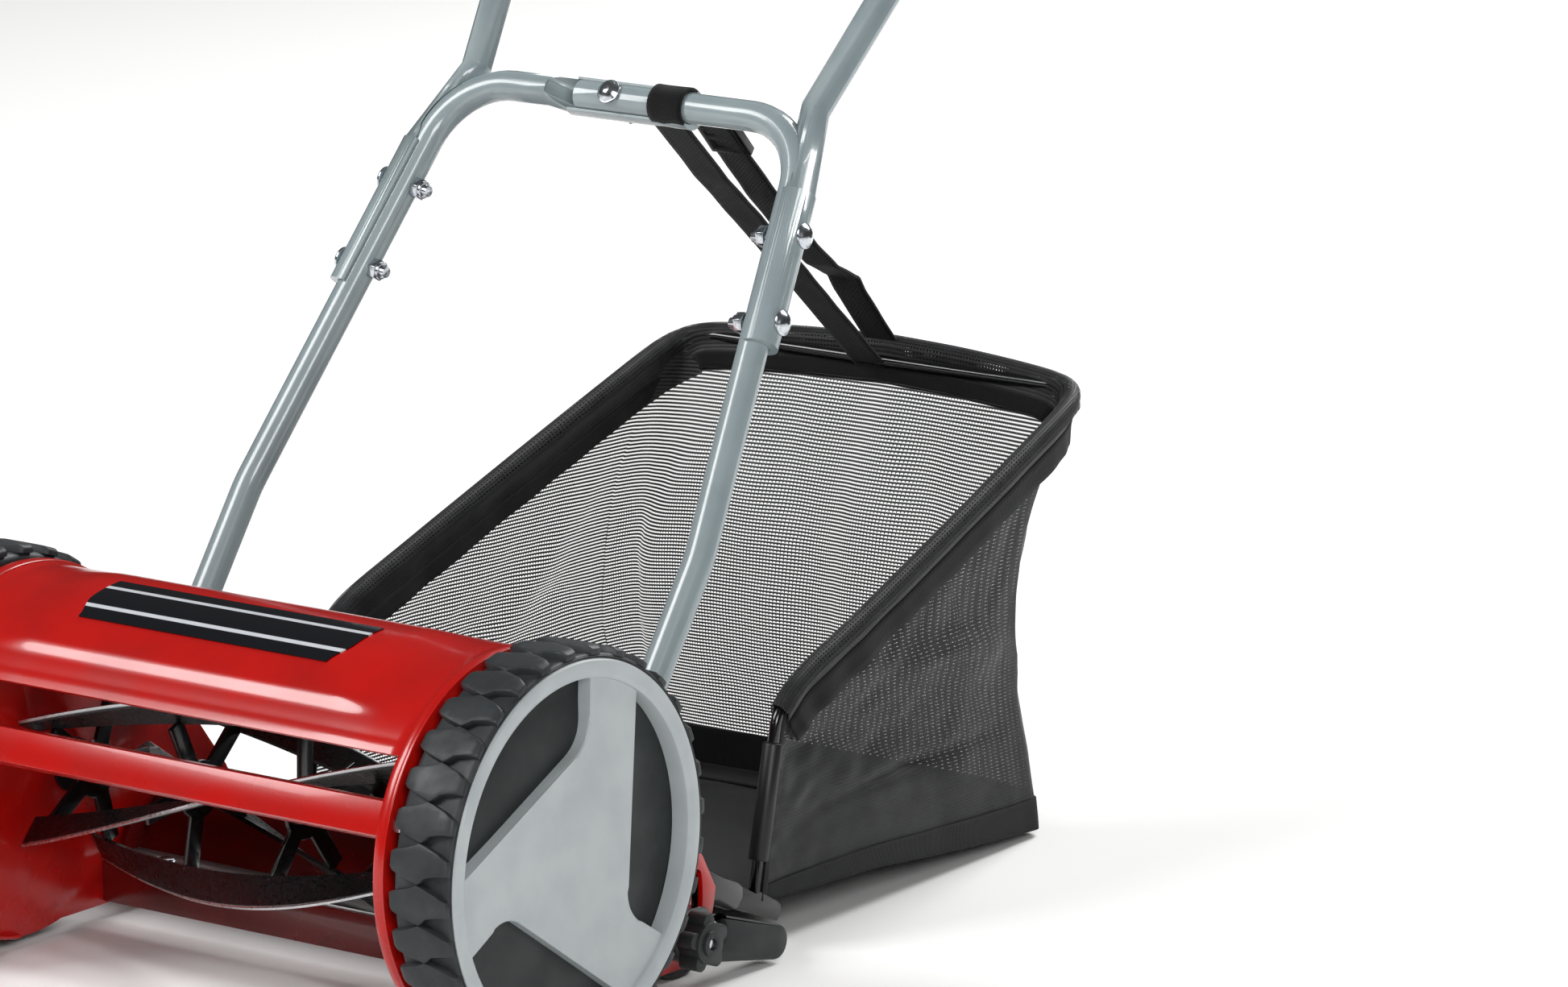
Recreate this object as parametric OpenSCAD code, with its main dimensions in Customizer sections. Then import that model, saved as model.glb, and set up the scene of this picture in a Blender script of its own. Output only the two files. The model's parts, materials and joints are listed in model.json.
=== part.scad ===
// Hand-pushed reel mower with a rear grass bag, all sizes in millimetres.
// Z is up with the ground at 0, X runs across the machine and it mows towards -Y.
// The wheel axle lies on the plane Y = 0.

/* [Wheels] */
// Outer radius of the tyres
wheel_r = 103; // [98:1:106]
// Width of a tyre
tyre_w = 35.5; // [30:0.5:38]
// Distance from the middle plane to the outer face of the wheel trim
wheel_face_x = 200; // [200:1:206]
// Radius of the silver trim ring
trim_r = 97; // [94:1:98]

/* [Chassis] */
// Outer face of a side plate, from the middle plane
plate_x = 157; // [156:0.5:157.5]
// Thickness of a side plate
plate_t = 3; // [2.5:0.5:3]
// Radius of the round side plates
plate_r = 97; // [95:1:98]
// Outer radius of the curved deck cover
deck_r = 95.5; // [94:0.5:95.5]

/* [Cutting reel] */
// Radius swept by the blades
reel_r = 56; // [50:1:56]
// Number of helical blades
blade_count = 5; // [5:5]
// Twist of each blade along the reel, in degrees
blade_twist = 114; // [90:2:120]
// Height of the reel axis below the wheel axle
reel_drop = 15; // [14:0.5:16]
// Gap between the blades and the bed knife
knife_gap = 0.3; // [0.2:0.1:0.6]

/* [Wheel gears] */
// Gear module
gear_m = 1.5; // [1.5:1.5]
// Teeth of the internal ring gear in each wheel
ring_teeth = 66; // [66:66]
// Teeth of the pinions on the reel shaft
pinion_teeth = 16; // [16:16]

/* [Rear roller] */
// Radius of the rear roller
roller_r = 27; // [25:0.5:27]
// Distance of the roller axle behind the wheel axle
roller_y = 147; // [145:1:148]

/* [Handle] */
// Outer radius of the handle tubes
tube_r = 8; // [7.5:0.1:8]
// Wall of the handle tubes
tube_wall = 1.2; // [1:0.1:1.5]
// Slope of the lower handle
handle_slope = 55; // [54:0.5:56]
// Length of the handle above the kink, along the tube
grip_reach = 640; // [560:10:680]
// Outer radius of the foam grip
foam_r = 14.5; // [12:0.5:16]

/* [Grass bag] */
// Half width of the bag at its front
bag_front_x = 148; // [146:0.5:148.5]
// Half width of the bag at its rear
bag_rear_x = 134.5; // [130:0.5:138]
// Thickness of the bag walls
bag_wall = 2.5; // [2:0.5:3]

/* [Hidden] */
$fn = 64;
plate_in = plate_x - plate_t;
axle_z = wheel_r;
axle_r = 6;
run = 0.05;

// Wheel, from its inner face outwards
tyre_x = wheel_face_x - 1 - tyre_w;
bead_r = 92;
drum_r = 88;
web_x = wheel_face_x - 13;
web_t = 3;
hub_r = 18;
ring_in = 86.2;
spoke_face_x = web_x + web_t + 6.5;
spoke_waist = [11.5, 54];
spoke_end = [[12.5, 92], [49, 79]];

// Gears and reel
gear_off = gear_m * (ring_teeth - pinion_teeth) / 2;
reel_y = sqrt(gear_off * gear_off - reel_drop * reel_drop);
reel_z = axle_z - reel_drop;
gear_phase = atan2(-reel_drop, reel_y);
gear_x = 166;
gear_w = 12;
ring_x = 165.5;
ring_r = 56;
pressure = 20;
backlash = 0.3;
reel_half = 149;
shaft_r = 6;
spider_r = 41;
blade_in = 39;
blade_phase = -4;

// Bed knife, 20 degrees behind the bottom of the reel
knife_lag = 20;
knife_y = reel_y + (reel_r + knife_gap) * sin(knife_lag);
knife_z = reel_z - (reel_r + knife_gap) * cos(knife_lag);
knife_t = 3;
knife_w = 26;
carrier_t = 2.5;
carrier_half = plate_in - 0.2;
knife_pivot = [80, 42];
knife_bolt = [66, 24];

// Roller bracket
bracket_pivot = [100, 44];
clamp_at = [125, 29];
bracket_swing = 30;
bracket_x = plate_x + 0.3;
bracket_t = 3;
arm_x = bracket_x + bracket_t;
arm_t = 11.7;
tail_at = [197, 11.5];
roller_half = 148;
roller_axle_r = 4;

// Frame fasteners
deck_lug = [48, 170];
tie_lug = [-83, 131];
foot_v = [322, 345];
bolt_r = 2.95;
hole_r = 3.1;

// Handle plane: u across, v down the slope, n up and forwards out of it
bar_at = [0, 304.7, 407.7];
down = [0, -cos(handle_slope), -sin(handle_slope)];
face = [0, -sin(handle_slope), cos(handle_slope)];
leg_top = [122, 63];
leg_bend = [plate_in - tube_r - 0.1, 240];
flare = atan2(leg_bend[0] - leg_top[0], leg_bend[1] - leg_top[1]);
corner_u = leg_top[0] - leg_top[1] * tan(flare);
leg_end_v = 352;
leg_bolt_v = [63, 111];
lap_bolt_x = -10;
upper_bolt_t = [280, 314];
kink = [110, 314, 413];
up_dir = [0.169, 0.613, 0.772] / norm([0.169, 0.613, 0.772]);
joint_from = 262;
joint_to = 330;
cup_r = 10.2;
cup_shift = 2.8;
cup_reach = cup_r + cup_shift;
cup_in = tube_r + 0.3;
collar_in = tube_r - 0.7;
collar_out = cup_r + 0.2;
neck_r = 9;
neck_shift = 3.5;
grip_half = 95;

// Bag, side outline as Y and Z
bag_pin = [186, 35.5];
foot_x = 143.8;
foot_w = 6.4;
rod_r = 3;
rod_foot = [bag_front_x, 210, 31];
rod_bend = [bag_front_x, 229, 119];
rim_front = [bag_front_x - 0.5, 246, 131];
rim_rear = [bag_rear_x, 524, 235];
floor_line = [[213, 25], [240, 22], [316, 19.5], [423, 8], [482, 2.5]];
rear_line = [[486, 6], [483, 24], [462, 94], [492, 170], [524, 235]];

// ---- helpers ----

function unit(v) = v / norm(v);
function hp(u, v, n) = bar_at + [u, 0, 0] + v * down + n * face;
function leg_at(v) = hp(leg_top[0] + (v - leg_top[1]) * tan(flare), v, 0);
function leg_out() = [cos(flare), 0, 0] - sin(flare) * down;
function up_at(t) = kink + t * up_dir;
function up_out() = unit([1, 0, 0] - up_dir[0] * up_dir);
function mirrored(p) = [-p[0], p[1], p[2]];
function turned(p, a) = [p[0] * cos(a) - p[1] * sin(a), p[0] * sin(a) + p[1] * cos(a)];
function arc(c, r, a0, a1, n) = [for (i = [0:n]) c + r * [cos(a0 + (a1 - a0) * i / n), sin(a0 + (a1 - a0) * i / n)]];

// Points of a round bend at corner b, between the runs from a and to c
function bend(a, b, c, r, n) =
    let (u = unit(a - b), w = unit(c - b), half = acos(u * w) / 2, mid = b + unit(u + w) * r / sin(half),
         s = b + u * r / tan(half) - mid, e = b + w * r / tan(half) - mid, turn = 180 - 2 * half)
    [for (i = [0:n]) mid + (sin(turn * (1 - i / n)) * s + sin(turn * i / n) * e) / sin(turn)];

function tangent(p, i) =
    i == 0 ? unit(p[1] - p[0]) : i == len(p) - 1 ? unit(p[i] - p[i - 1])
    : unit(unit(p[i + 1] - p[i]) + unit(p[i] - p[i - 1]));

function ring_points(p, r, sides, ref) = [
    for (i = [0:len(p) - 1])
        let (t = tangent(p, i), a = unit(cross(t, ref)), b = cross(t, a))
            for (k = [0:sides - 1]) p[i] + r * (cos(360 * k / sides) * a + sin(360 * k / sides) * b)
];

function wall_faces(rings, sides, start, flip) = [
    for (i = [0:rings - 2])
        for (k = [0:sides - 1])
            let (a = start + i * sides + k, b = start + i * sides + (k + 1) % sides, c = b + sides, d = a + sides)
                each flip ? [[a, b, c], [a, c, d]] : [[a, c, b], [a, d, c]]
];

// Solid rod along a route
module rod(p, r, sides, ref) {
    n = len(p);
    polyhedron(
        points = ring_points(p, r, sides, ref),
        faces = concat(
            wall_faces(n, sides, 0, false),
            [[for (k = [0:sides - 1]) k], [for (k = [sides - 1:-1:0]) (n - 1) * sides + k]]
        )
    );
}

// Tube with open ends along a route
module pipe(p, r, wall, sides, ref) {
    n = len(p);
    inner = n * sides;
    last = (n - 1) * sides;
    polyhedron(
        points = concat(ring_points(p, r, sides, ref), ring_points(p, r - wall, sides, ref)),
        faces = concat(
            wall_faces(n, sides, 0, false),
            wall_faces(n, sides, inner, true),
            [for (k = [0:sides - 1]) let (j = (k + 1) % sides) each [[k, j, inner + j], [k, inner + j, inner + k]]],
            [for (k = [0:sides - 1]) let (j = (k + 1) % sides)
                each [[last + j, last + k, inner + last + k], [last + j, inner + last + k, inner + last + j]]]
        )
    );
}

// Places a shape so that its Z axis runs along d from p
module along(p, d) {
    translate(p) rotate([0, acos(d[2] / norm(d)), atan2(d[1], d[0])]) children();
}

// Extrudes a side outline, drawn as Y and Z, from x over the width w
module side_extrude(x, w) {
    translate([x, 0, 0]) rotate([90, 0, 90]) linear_extrude(w) children();
}

module x_cyl(x, w, at, r) {
    translate([x, at[0], at[1]]) rotate([0, 90, 0]) cylinder(h = w, r = r);
}

module both_sides() {
    children();
    mirror([1, 0, 0]) children();
}

// Hexagon nut or head along Z, with across-flats size af
module hex(af, h) {
    cylinder(h = h, r = af / 2 / cos(30), $fn = 6);
}

// ---- gears ----

function inv_point(rb, r) = let (a = acos(min(1, rb / r))) [r, tan(a) * 180 / PI - a];

// One tooth flank to flank, centred on angle 0, with thick added to its width
function tooth(z, r_low, r_high, thick) =
    let (rp = gear_m * z / 2, rb = rp * cos(pressure), steps = 5,
         half = 90 / z + (tan(pressure) * 180 / PI - pressure) + thick / rp * 90 / PI,
         from = max(rb, r_low),
         flank = [for (i = [0:steps]) inv_point(rb, from + (r_high - from) * i / steps)])
    concat(
        [[r_low, -(half - flank[0][1])]],
        [for (f = flank) [f[0], -(half - f[1])]],
        [for (i = [steps:-1:0]) [flank[i][0], half - flank[i][1]]],
        [[r_low, half - flank[0][1]]]
    );

module gear_outline(z, r_low, r_high, thick) {
    polygon([
        for (k = [0:z - 1])
            for (q = tooth(z, r_low, r_high, thick))
                q[0] * [cos(q[1] + 360 * k / z), sin(q[1] + 360 * k / z)]
    ]);
}

module ring_gear() {
    color("dimgray") difference() {
        x_cyl(ring_x, web_x - ring_x, [0, axle_z], ring_r);
        translate([0, 0, axle_z]) side_extrude(ring_x - 1, web_x - ring_x + 2) rotate(gear_phase)
            gear_outline(ring_teeth, gear_m * (ring_teeth / 2 - 0.8), gear_m * (ring_teeth / 2 + 1.2), backlash);
    }
}

module pinion() {
    color("slategray") difference() {
        translate([0, reel_y, reel_z]) side_extrude(gear_x, gear_w) rotate(gear_phase)
            gear_outline(pinion_teeth, gear_m * (pinion_teeth / 2 - 1.15), gear_m * (pinion_teeth / 2 + 0.9), -backlash);
        x_cyl(gear_x - 1, gear_w + 2, [reel_y, reel_z], shaft_r);
    }
}

// ---- wheels, drawn for the right side ----

module tyre() {
    w = tyre_w;
    color("#2b2d2e") translate([tyre_x, 0, axle_z]) rotate([0, 90, 0]) rotate_extrude($fn = 96)
        polygon([
            [bead_r, 1], [wheel_r - 2.5, 0], [wheel_r, 3.5], [wheel_r, w - 3.5], [wheel_r - 2, w],
            [trim_r + 1.2, w], [trim_r + 0.6, w - 3], [bead_r, w - 3]
        ]);
}

module wheel_rim() {
    color("#33373a") difference() {
        x_cyl(tyre_x + 1, tyre_w - 4, [0, axle_z], bead_r);
        x_cyl(tyre_x, web_x - tyre_x, [0, axle_z], drum_r);
        x_cyl(web_x + web_t, tyre_w, [0, axle_z], drum_r);
        x_cyl(web_x - 1, web_t + 2, [0, axle_z], hub_r - 1);
    }
    color("#33373a") difference() {
        x_cyl(tyre_x + 1.5, web_x + web_t - tyre_x - 1.5, [0, axle_z], hub_r);
        x_cyl(tyre_x, wheel_face_x - tyre_x, [0, axle_z], axle_r + run);
        x_cyl(web_x + 1.95, tyre_w, [0, axle_z], axle_r + 3.5);
    }
}

// Three-spoked star round the wheel centre, its waists rounded between straight edges
module star_outline() {
    arm = concat(bend(turned(spoke_end[1], 120), spoke_waist, spoke_end[0], 12, 6), spoke_end);
    polygon([for (k = [0:2]) for (p = arm) turned(p, -120 * k)]);
}

module wheel_trim() {
    front = web_x + web_t;
    ring_back = tyre_x + tyre_w - 3;
    color("#b9bfc2") difference() {
        union() {
            intersection() {
                translate([0, 0, axle_z]) side_extrude(front, spoke_face_x - front) star_outline();
                x_cyl(front - 1, tyre_w, [0, axle_z], drum_r - 0.4);
            }
            difference() {
                union() {
                    x_cyl(front, wheel_face_x - front - 1, [0, axle_z], drum_r - 0.1);
                    x_cyl(ring_back, wheel_face_x - ring_back, [0, axle_z], trim_r);
                }
                x_cyl(front - 1, tyre_w, [0, axle_z], ring_in);
            }
        }
        x_cyl(front - 1, 3, [0, axle_z], axle_r + 4);
    }
}

module wheel_axle() {
    color("silver") {
        x_cyl(plate_in - 4.6, web_x + 2 - plate_in + 4.6, [0, axle_z], axle_r);
        x_cyl(plate_x, tyre_x + 1 - plate_x, [0, axle_z], 10);
    }
}

module axle_clips() {
    color("silver") both_sides() {
        difference() {
            along([plate_in - 4.5, 0, axle_z], [1, 0, 0]) hex(17, 4.4);
            x_cyl(plate_in - 8, 9, [0, axle_z], axle_r);
        }
        x_cyl(web_x + 2.05, 0.9, [0, axle_z], axle_r + 3);
    }
}

// ---- chassis ----

module side_plate() {
    color("#c81e1e") difference() {
        union() {
            x_cyl(plate_in, plate_t, [0, axle_z], plate_r);
            side_extrude(plate_in, plate_t) polygon([
                [20, 9], [146, 9], [160, 22], [164, 37], [165.5, 45], [155, 63], [132, 92],
                [131, 150], [118, 158], [88, 142], [40, 120]
            ]);
        }
        x_cyl(plate_in - 1, plate_t + 2, [0, axle_z], axle_r);
        x_cyl(plate_in - 1, plate_t + 2, [reel_y, reel_z], 10);
        x_cyl(plate_in - 1, plate_t + 2, knife_pivot, 4);
        x_cyl(plate_in - 1, plate_t + 2, knife_bolt, 5);
        x_cyl(plate_in - 1, plate_t + 2, bracket_pivot, 4);
        for (q = [deck_lug, [-deck_lug[0], deck_lug[1]], tie_lug]) x_cyl(plate_in - 1, plate_t + 2, q, hole_r);
        for (v = foot_v) x_cyl(plate_in - 1, plate_t + 2, [hp(0, v, 0)[1], hp(0, v, 0)[2]], hole_r);
        swing_slot(clamp_at, 3.3);
        swing_slot([roller_y, roller_r], roller_axle_r + 0.6);
    }
}

// Curved slot in the side plate for a pin that swings about the bracket pivot
module swing_slot(at, r) {
    d = at - bracket_pivot;
    a0 = atan2(d[1], d[0]);
    reach = norm(d);
    a1 = a0 + bracket_swing;
    mid = arc(bracket_pivot, reach, a0, a1, 10);
    side_extrude(plate_in - 1, plate_t + 2) polygon(concat(
        arc(bracket_pivot, reach + r, a0, a1, 12), arc(bracket_pivot, reach - r, a1, a0, 12)
    ));
    x_cyl(plate_in - 1, plate_t + 2, mid[0], r);
    x_cyl(plate_in - 1, plate_t + 2, mid[10], r);
}

module curved_sheet(r, t, a0, a1, half) {
    side_extrude(-half, 2 * half)
        polygon(concat(arc([0, axle_z], r, a0, a1, 40), arc([0, axle_z], r - t, a1, a0, 40)));
}

module deck_cover() {
    half = plate_in - 0.1;
    color("#d01f1f") difference() {
        union() {
            curved_sheet(deck_r, 2.5, 45, 142, half);
            both_sides() for (s = [-1, 1])
                translate([half - 10, s * deck_lug[0] - 6, deck_lug[1] - 6]) cube([10, 12, 16]);
        }
        both_sides() for (s = [-1, 1]) x_cyl(half - 11, 12, [s * deck_lug[0], deck_lug[1]], bolt_r);
        difference() {
            side_extrude(-half - 1, 2 * half + 2) translate([0, axle_z]) circle(r = deck_r + 40, $fn = 96);
            side_extrude(-half - 2, 2 * half + 4) translate([0, axle_z]) circle(r = deck_r, $fn = 160);
        }
    }
}

module deck_panel() {
    color("#15171a") curved_sheet(deck_r + 1.3, 1.2, 92, 116, 88);
}

module tie_bar() {
    half = plate_in - 0.1;
    t = 2;
    color("#c81e1e") difference() {
        union() {
            side_extrude(-half, 2 * half) polygon([
                [-76, 139.5], [-87.5, 142], [-93.5, 126.5], [-84, 121.5],
                [-83.2, 123.4], [-91, 127.6], [-86.2, 139.6], [-76.4, 137.5]
            ]);
            both_sides() side_extrude(half - t, t) polygon([[-76, 139.5], [-87.5, 142], [-93.5, 126.5],
                [-84, 121.5], [-76, 123]]);
        }
        both_sides() x_cyl(half - t - 1, t + 2, tie_lug, hole_r);
    }
}

// Hexagon-headed bolt along -X, from its head outside the plate
module plate_bolt(at, reach) {
    along([plate_x, at[0], at[1]], [1, 0, 0]) hex(10, 3.5);
    x_cyl(plate_x - reach, reach, at, bolt_r);
}

module frame_bolts() {
    color("silver") both_sides() {
        plate_bolt(deck_lug, 11);
        plate_bolt([-deck_lug[0], deck_lug[1]], 11);
        plate_bolt(tie_lug, 9);
        difference() {
            along([plate_in - 6.2, tie_lug[0], tie_lug[1]], [1, 0, 0]) hex(10, 4);
            x_cyl(plate_in - 8, 8, tie_lug, bolt_r);
        }
    }
}

module reel_bushes() {
    color("#1d1d1d") both_sides() difference() {
        union() {
            x_cyl(plate_in - 2.5, plate_t + 5.5, [reel_y, reel_z], 9.95);
            x_cyl(plate_in - 2.5, 2.4, [reel_y, reel_z], 14);
        }
        x_cyl(plate_in - 5, plate_t + 12, [reel_y, reel_z], shaft_r + run);
    }
}

module height_pivots() {
    color("silver") both_sides() {
        x_cyl(plate_in - 2, plate_t + bracket_t + 2.4, bracket_pivot, 3.95);
        x_cyl(plate_in - 2, 1.9, bracket_pivot, 5);
        x_cyl(arm_x + 0.1, 2.2, bracket_pivot, 7);
    }
}

module bag_hooks() {
    color("#1b1b1b") both_sides() {
        difference() {
            side_extrude(plate_in - 3.1, 3) polygon([
                [154.8, 36], [164, 36], [180, 29], [188, 28.5], [192.5, 33], [192.5, 38], [188, 42],
                [176, 47], [160, 56], [154.8, 56]
            ]);
            x_cyl(plate_in - 4, 5, bag_pin, rod_r);
        }
        x_cyl(foot_x - 1.5, plate_in - foot_x + 1.4, bag_pin, rod_r);
        x_cyl(foot_x - 2.6, 1.8, bag_pin, rod_r + 1.5);
    }
}

// ---- bed knife ----

module knife_carrier() {
    color("#7c1517") difference() {
        union() {
            side_extrude(-carrier_half, 2 * carrier_half) polygon([
                [56.5, 11], [59, 11], [59, knife_z - knife_t - carrier_t], [83, knife_z - knife_t - carrier_t],
                [100.5, 57.5], [98.4, 58.8], [81.6, knife_z - knife_t], [56.5, knife_z - knife_t]
            ]);
            both_sides() side_extrude(carrier_half - 3, 3)
                polygon([[56.5, 21.5], [60, 18.5], [80, 18.5], [88, 34], [86, 48], [76, 49], [70, 36],
                    [56.5, knife_z - knife_t]]);
            both_sides() x_cyl(carrier_half - 1, plate_t + 1, knife_pivot, 3.95);
        }
        both_sides() x_cyl(carrier_half - 4, 5, knife_bolt, hole_r);
        for (x = [-120, -40, 40, 120]) translate([x, knife_y + 14, 0]) cylinder(h = 60, r = 2.5);
    }
}

module bed_knife() {
    color("silver") difference() {
        side_extrude(-reel_half, 2 * reel_half) polygon([
            [knife_y, knife_z], [knife_y, knife_z - 1], [knife_y + 3, knife_z - knife_t],
            [knife_y + knife_w, knife_z - knife_t], [knife_y + knife_w, knife_z]
        ]);
        for (x = [-120, -40, 40, 120]) translate([x, knife_y + 14, 0]) cylinder(h = 60, r = 2.5);
    }
}

module knife_screws() {
    color("silver") {
        for (x = [-120, -40, 40, 120]) translate([x, knife_y + 14, knife_z - knife_t - carrier_t - 3]) {
            cylinder(h = knife_t + carrier_t + 3, r = 2.45);
            hex(8, 3);
            translate([0, 0, knife_t + carrier_t + 3]) cylinder(h = 1.6, r = 4.2);
        }
        both_sides() {
            x_cyl(carrier_half - 8, plate_x + 1.2 - carrier_half + 8, knife_bolt, bolt_r);
            along([plate_x + 1, knife_bolt[0], knife_bolt[1]], [1, 0, 0]) hex(10, 3.5);
            along([carrier_half - 8, knife_bolt[0], knife_bolt[1]], [1, 0, 0]) hex(9, 4.9);
        }
    }
}

// ---- reel ----

module reel_shaft() {
    color("#2a2a2a") x_cyl(-gear_x - gear_w - 1, 2 * (gear_x + gear_w + 1), [reel_y, reel_z], shaft_r);
}

module spider_outline() {
    difference() {
        union() {
            circle(r = 15);
            for (k = [0:blade_count - 1]) rotate(360 * k / blade_count + 6 + blade_phase)
                translate([0, -5]) square([spider_r, 10]);
        }
        circle(r = shaft_r);
    }
}

module reel_spiders() {
    color("#1c1c1c") for (x = [-138, -69, 0, 69, 138])
        translate([0, reel_y, reel_z]) side_extrude(x - 1.25, 2.5)
            rotate(-blade_twist * (x + reel_half) / (2 * reel_half)) spider_outline();
}

module reel_blade(k) {
    color("#26282a") translate([-reel_half, reel_y, reel_z]) rotate([90, 0, 90])
        linear_extrude(height = 2 * reel_half, twist = blade_twist, slices = 38, $fn = 5)
            rotate(360 * k / blade_count + blade_phase)
                polygon([
                    [blade_in, -1.1], [reel_r - 0.6, 3.4], [reel_r - 0.2, 4.6], [reel_r - 3, 5.6], [blade_in, 1.1]
                ]);
}

// ---- rear roller and its bracket ----

module roller_drum() {
    color("#202224") difference() {
        x_cyl(-roller_half, 2 * roller_half, [roller_y, roller_r], roller_r);
        x_cyl(-roller_half - 1, 2 * roller_half + 2, [roller_y, roller_r], roller_r - 2.5);
    }
}

module roller_caps() {
    color("#17191a") both_sides() difference() {
        x_cyl(roller_half - 12, 12, [roller_y, roller_r], roller_r - 2.5);
        x_cyl(roller_half - 13, 14, [roller_y, roller_r], roller_axle_r + run);
        difference() {
            x_cyl(roller_half - 4, 5, [roller_y, roller_r], roller_r - 6);
            x_cyl(roller_half - 5, 7, [roller_y, roller_r], 9);
        }
    }
}

module roller_plates() {
    color("#1b1c1d") both_sides() difference() {
        union() {
            side_extrude(bracket_x, bracket_t) hull() {
                translate(bracket_pivot) circle(r = 10);
                translate(clamp_at) circle(r = 12);
            }
            side_extrude(bracket_x, bracket_t) hull() {
                translate(clamp_at) circle(r = 12);
                translate([roller_y, roller_r]) circle(r = 12);
            }
        }
        x_cyl(bracket_x - 1, bracket_t + 2, bracket_pivot, 4);
        x_cyl(bracket_x - 1, bracket_t + 2, clamp_at, 3.1);
        x_cyl(bracket_x - 1, bracket_t + 2, [roller_y, roller_r], roller_axle_r + run);
    }
}

module rear_arm() {
    color("#2a2f30") difference() {
        side_extrude(arm_x, arm_t) hull() {
            translate(clamp_at + [1, 1]) circle(r = 13);
            translate(tail_at) circle(r = 9);
        }
        x_cyl(arm_x - 1, arm_t + 2, clamp_at, 3.1);
        x_cyl(arm_x - 1, arm_t + 2, [roller_y, roller_r], roller_axle_r + run);
        x_cyl(arm_x + 3.7, arm_t, [roller_y, roller_r + 1], 8.5);
    }
}

module roller_axle() {
    color("silver") x_cyl(-arm_x - 9, 2 * (arm_x + 9), [roller_y, roller_r], roller_axle_r);
}

module roller_nuts() {
    color("silver") both_sides() {
        difference() {
            along([arm_x + 3.8, roller_y, roller_r], [1, 0, 0]) hex(13, 4.5);
            x_cyl(arm_x, 12, [roller_y, roller_r], roller_axle_r);
        }
        difference() {
            x_cyl(roller_half + 0.4, 2, [roller_y, roller_r], 7);
            x_cyl(roller_half, 12, [roller_y, roller_r], roller_axle_r);
        }
    }
}

module clamp_bolts() {
    color("silver") both_sides() {
        x_cyl(plate_in - 3, arm_x + arm_t + 12.5 - plate_in + 3, clamp_at, 3);
        x_cyl(plate_in - 3.1, 3, clamp_at, 7);
    }
}

module star_knob() {
    base = arm_x + arm_t + 0.3;
    color("#2e3335") difference() {
        union() {
            x_cyl(base, 12, clamp_at, 10.5);
            x_cyl(base, 13.5, clamp_at, 6.5);
            for (k = [0:4]) x_cyl(base, 11, clamp_at + 11 * [cos(72 * k + 90), sin(72 * k + 90)], 4.2);
        }
        x_cyl(base - 1, 16, clamp_at, 3 + run);
    }
}

// ---- handle ----

// Route of a lower tube from the middle of the cross tube down to its foot
function lower_route(lap) = concat(
    [hp(lap, 0, 0)],
    bend(hp(0, 0, 0), hp(corner_u, 0, 0), leg_at(leg_bend[1]), 42, 12),
    bend(leg_at(leg_top[1]), leg_at(leg_bend[1]), hp(leg_bend[0], leg_end_v, 0), 90, 4),
    [hp(leg_bend[0], leg_end_v, 0)]
);

// The right tube ends plain in the cross tube and the left one is pressed to a cup that holds it
module lower_tube(side) {
    color("#aeb8bd") difference() {
        union() {
            pipe(lower_route(side > 0 ? -33 : 52), tube_r, tube_wall, 16, face);
            if (side < 0) {
                cup(hp(38.5, 0, 0), [-1, 0, 0], -face, 76);
                difference() {
                    hull() {
                        along(hp(38, 0, 0) - neck_shift * face, [1, 0, 0]) cylinder(h = 1, r = neck_r);
                        along(hp(53, 0, 0), [1, 0, 0]) cylinder(h = 1, r = tube_r - 0.3);
                    }
                    along(hp(30, 0, 0) - 8 * face, [0.64, 0, 0] + 0.77 * face) cylinder(h = 60, r = cup_in + 0.1);
                }
            }
        }
        for (v = leg_bolt_v) along(leg_at(v) - 14 * leg_out(), leg_out()) cylinder(h = 28, r = hole_r);
        for (v = foot_v) along(hp(leg_bend[0], v, 0) - [14, 0, 0], [1, 0, 0]) cylinder(h = 28, r = hole_r);
        along(hp(side * lap_bolt_x, 0, 0) - 14 * face, face) cylinder(h = 28, r = hole_r);
    }
}

// Crescent that the pressed end of one handle tube makes round another
module cup(p, d, out, length) {
    across = cross(unit(d), out);
    difference() {
        along(p + cup_shift * out, d) cylinder(h = length, r = cup_r);
        along(p - unit(d), d) cylinder(h = length + 2, r = cup_in);
        multmatrix([
            [out[0], across[0], unit(d)[0], p[0]],
            [out[1], across[1], unit(d)[1], p[1]],
            [out[2], across[2], unit(d)[2], p[2]]
        ]) translate([-31, -20, -5]) cube([30, 40, length + 10]);
    }
}

module upper_tube() {
    foot = leg_at(124);
    top = leg_at(40);
    out = leg_out();
    color("#aeb8bd") difference() {
        union() {
            pipe([up_at(0), up_at(joint_to / 2), up_at(joint_to)], tube_r, tube_wall, 16, [0, 0.772, -0.613]);
            cup(foot, top - foot, out, norm(top - foot));
            difference() {
                hull() {
                    along(top + neck_shift * out, foot - top) cylinder(h = 1, r = neck_r);
                    along(up_at(-1), up_dir) cylinder(h = 2, r = tube_r - 0.3, $fn = 24);
                }
                rod(lower_route(0), tube_r + 0.6, 16, face);
            }
        }
        for (v = leg_bolt_v) along(leg_at(v), out) cylinder(h = 20, r = hole_r);
        for (t = upper_bolt_t) along(up_at(t) - 14 * up_out(), up_out()) cylinder(h = 28, r = hole_r);
    }
}

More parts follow.
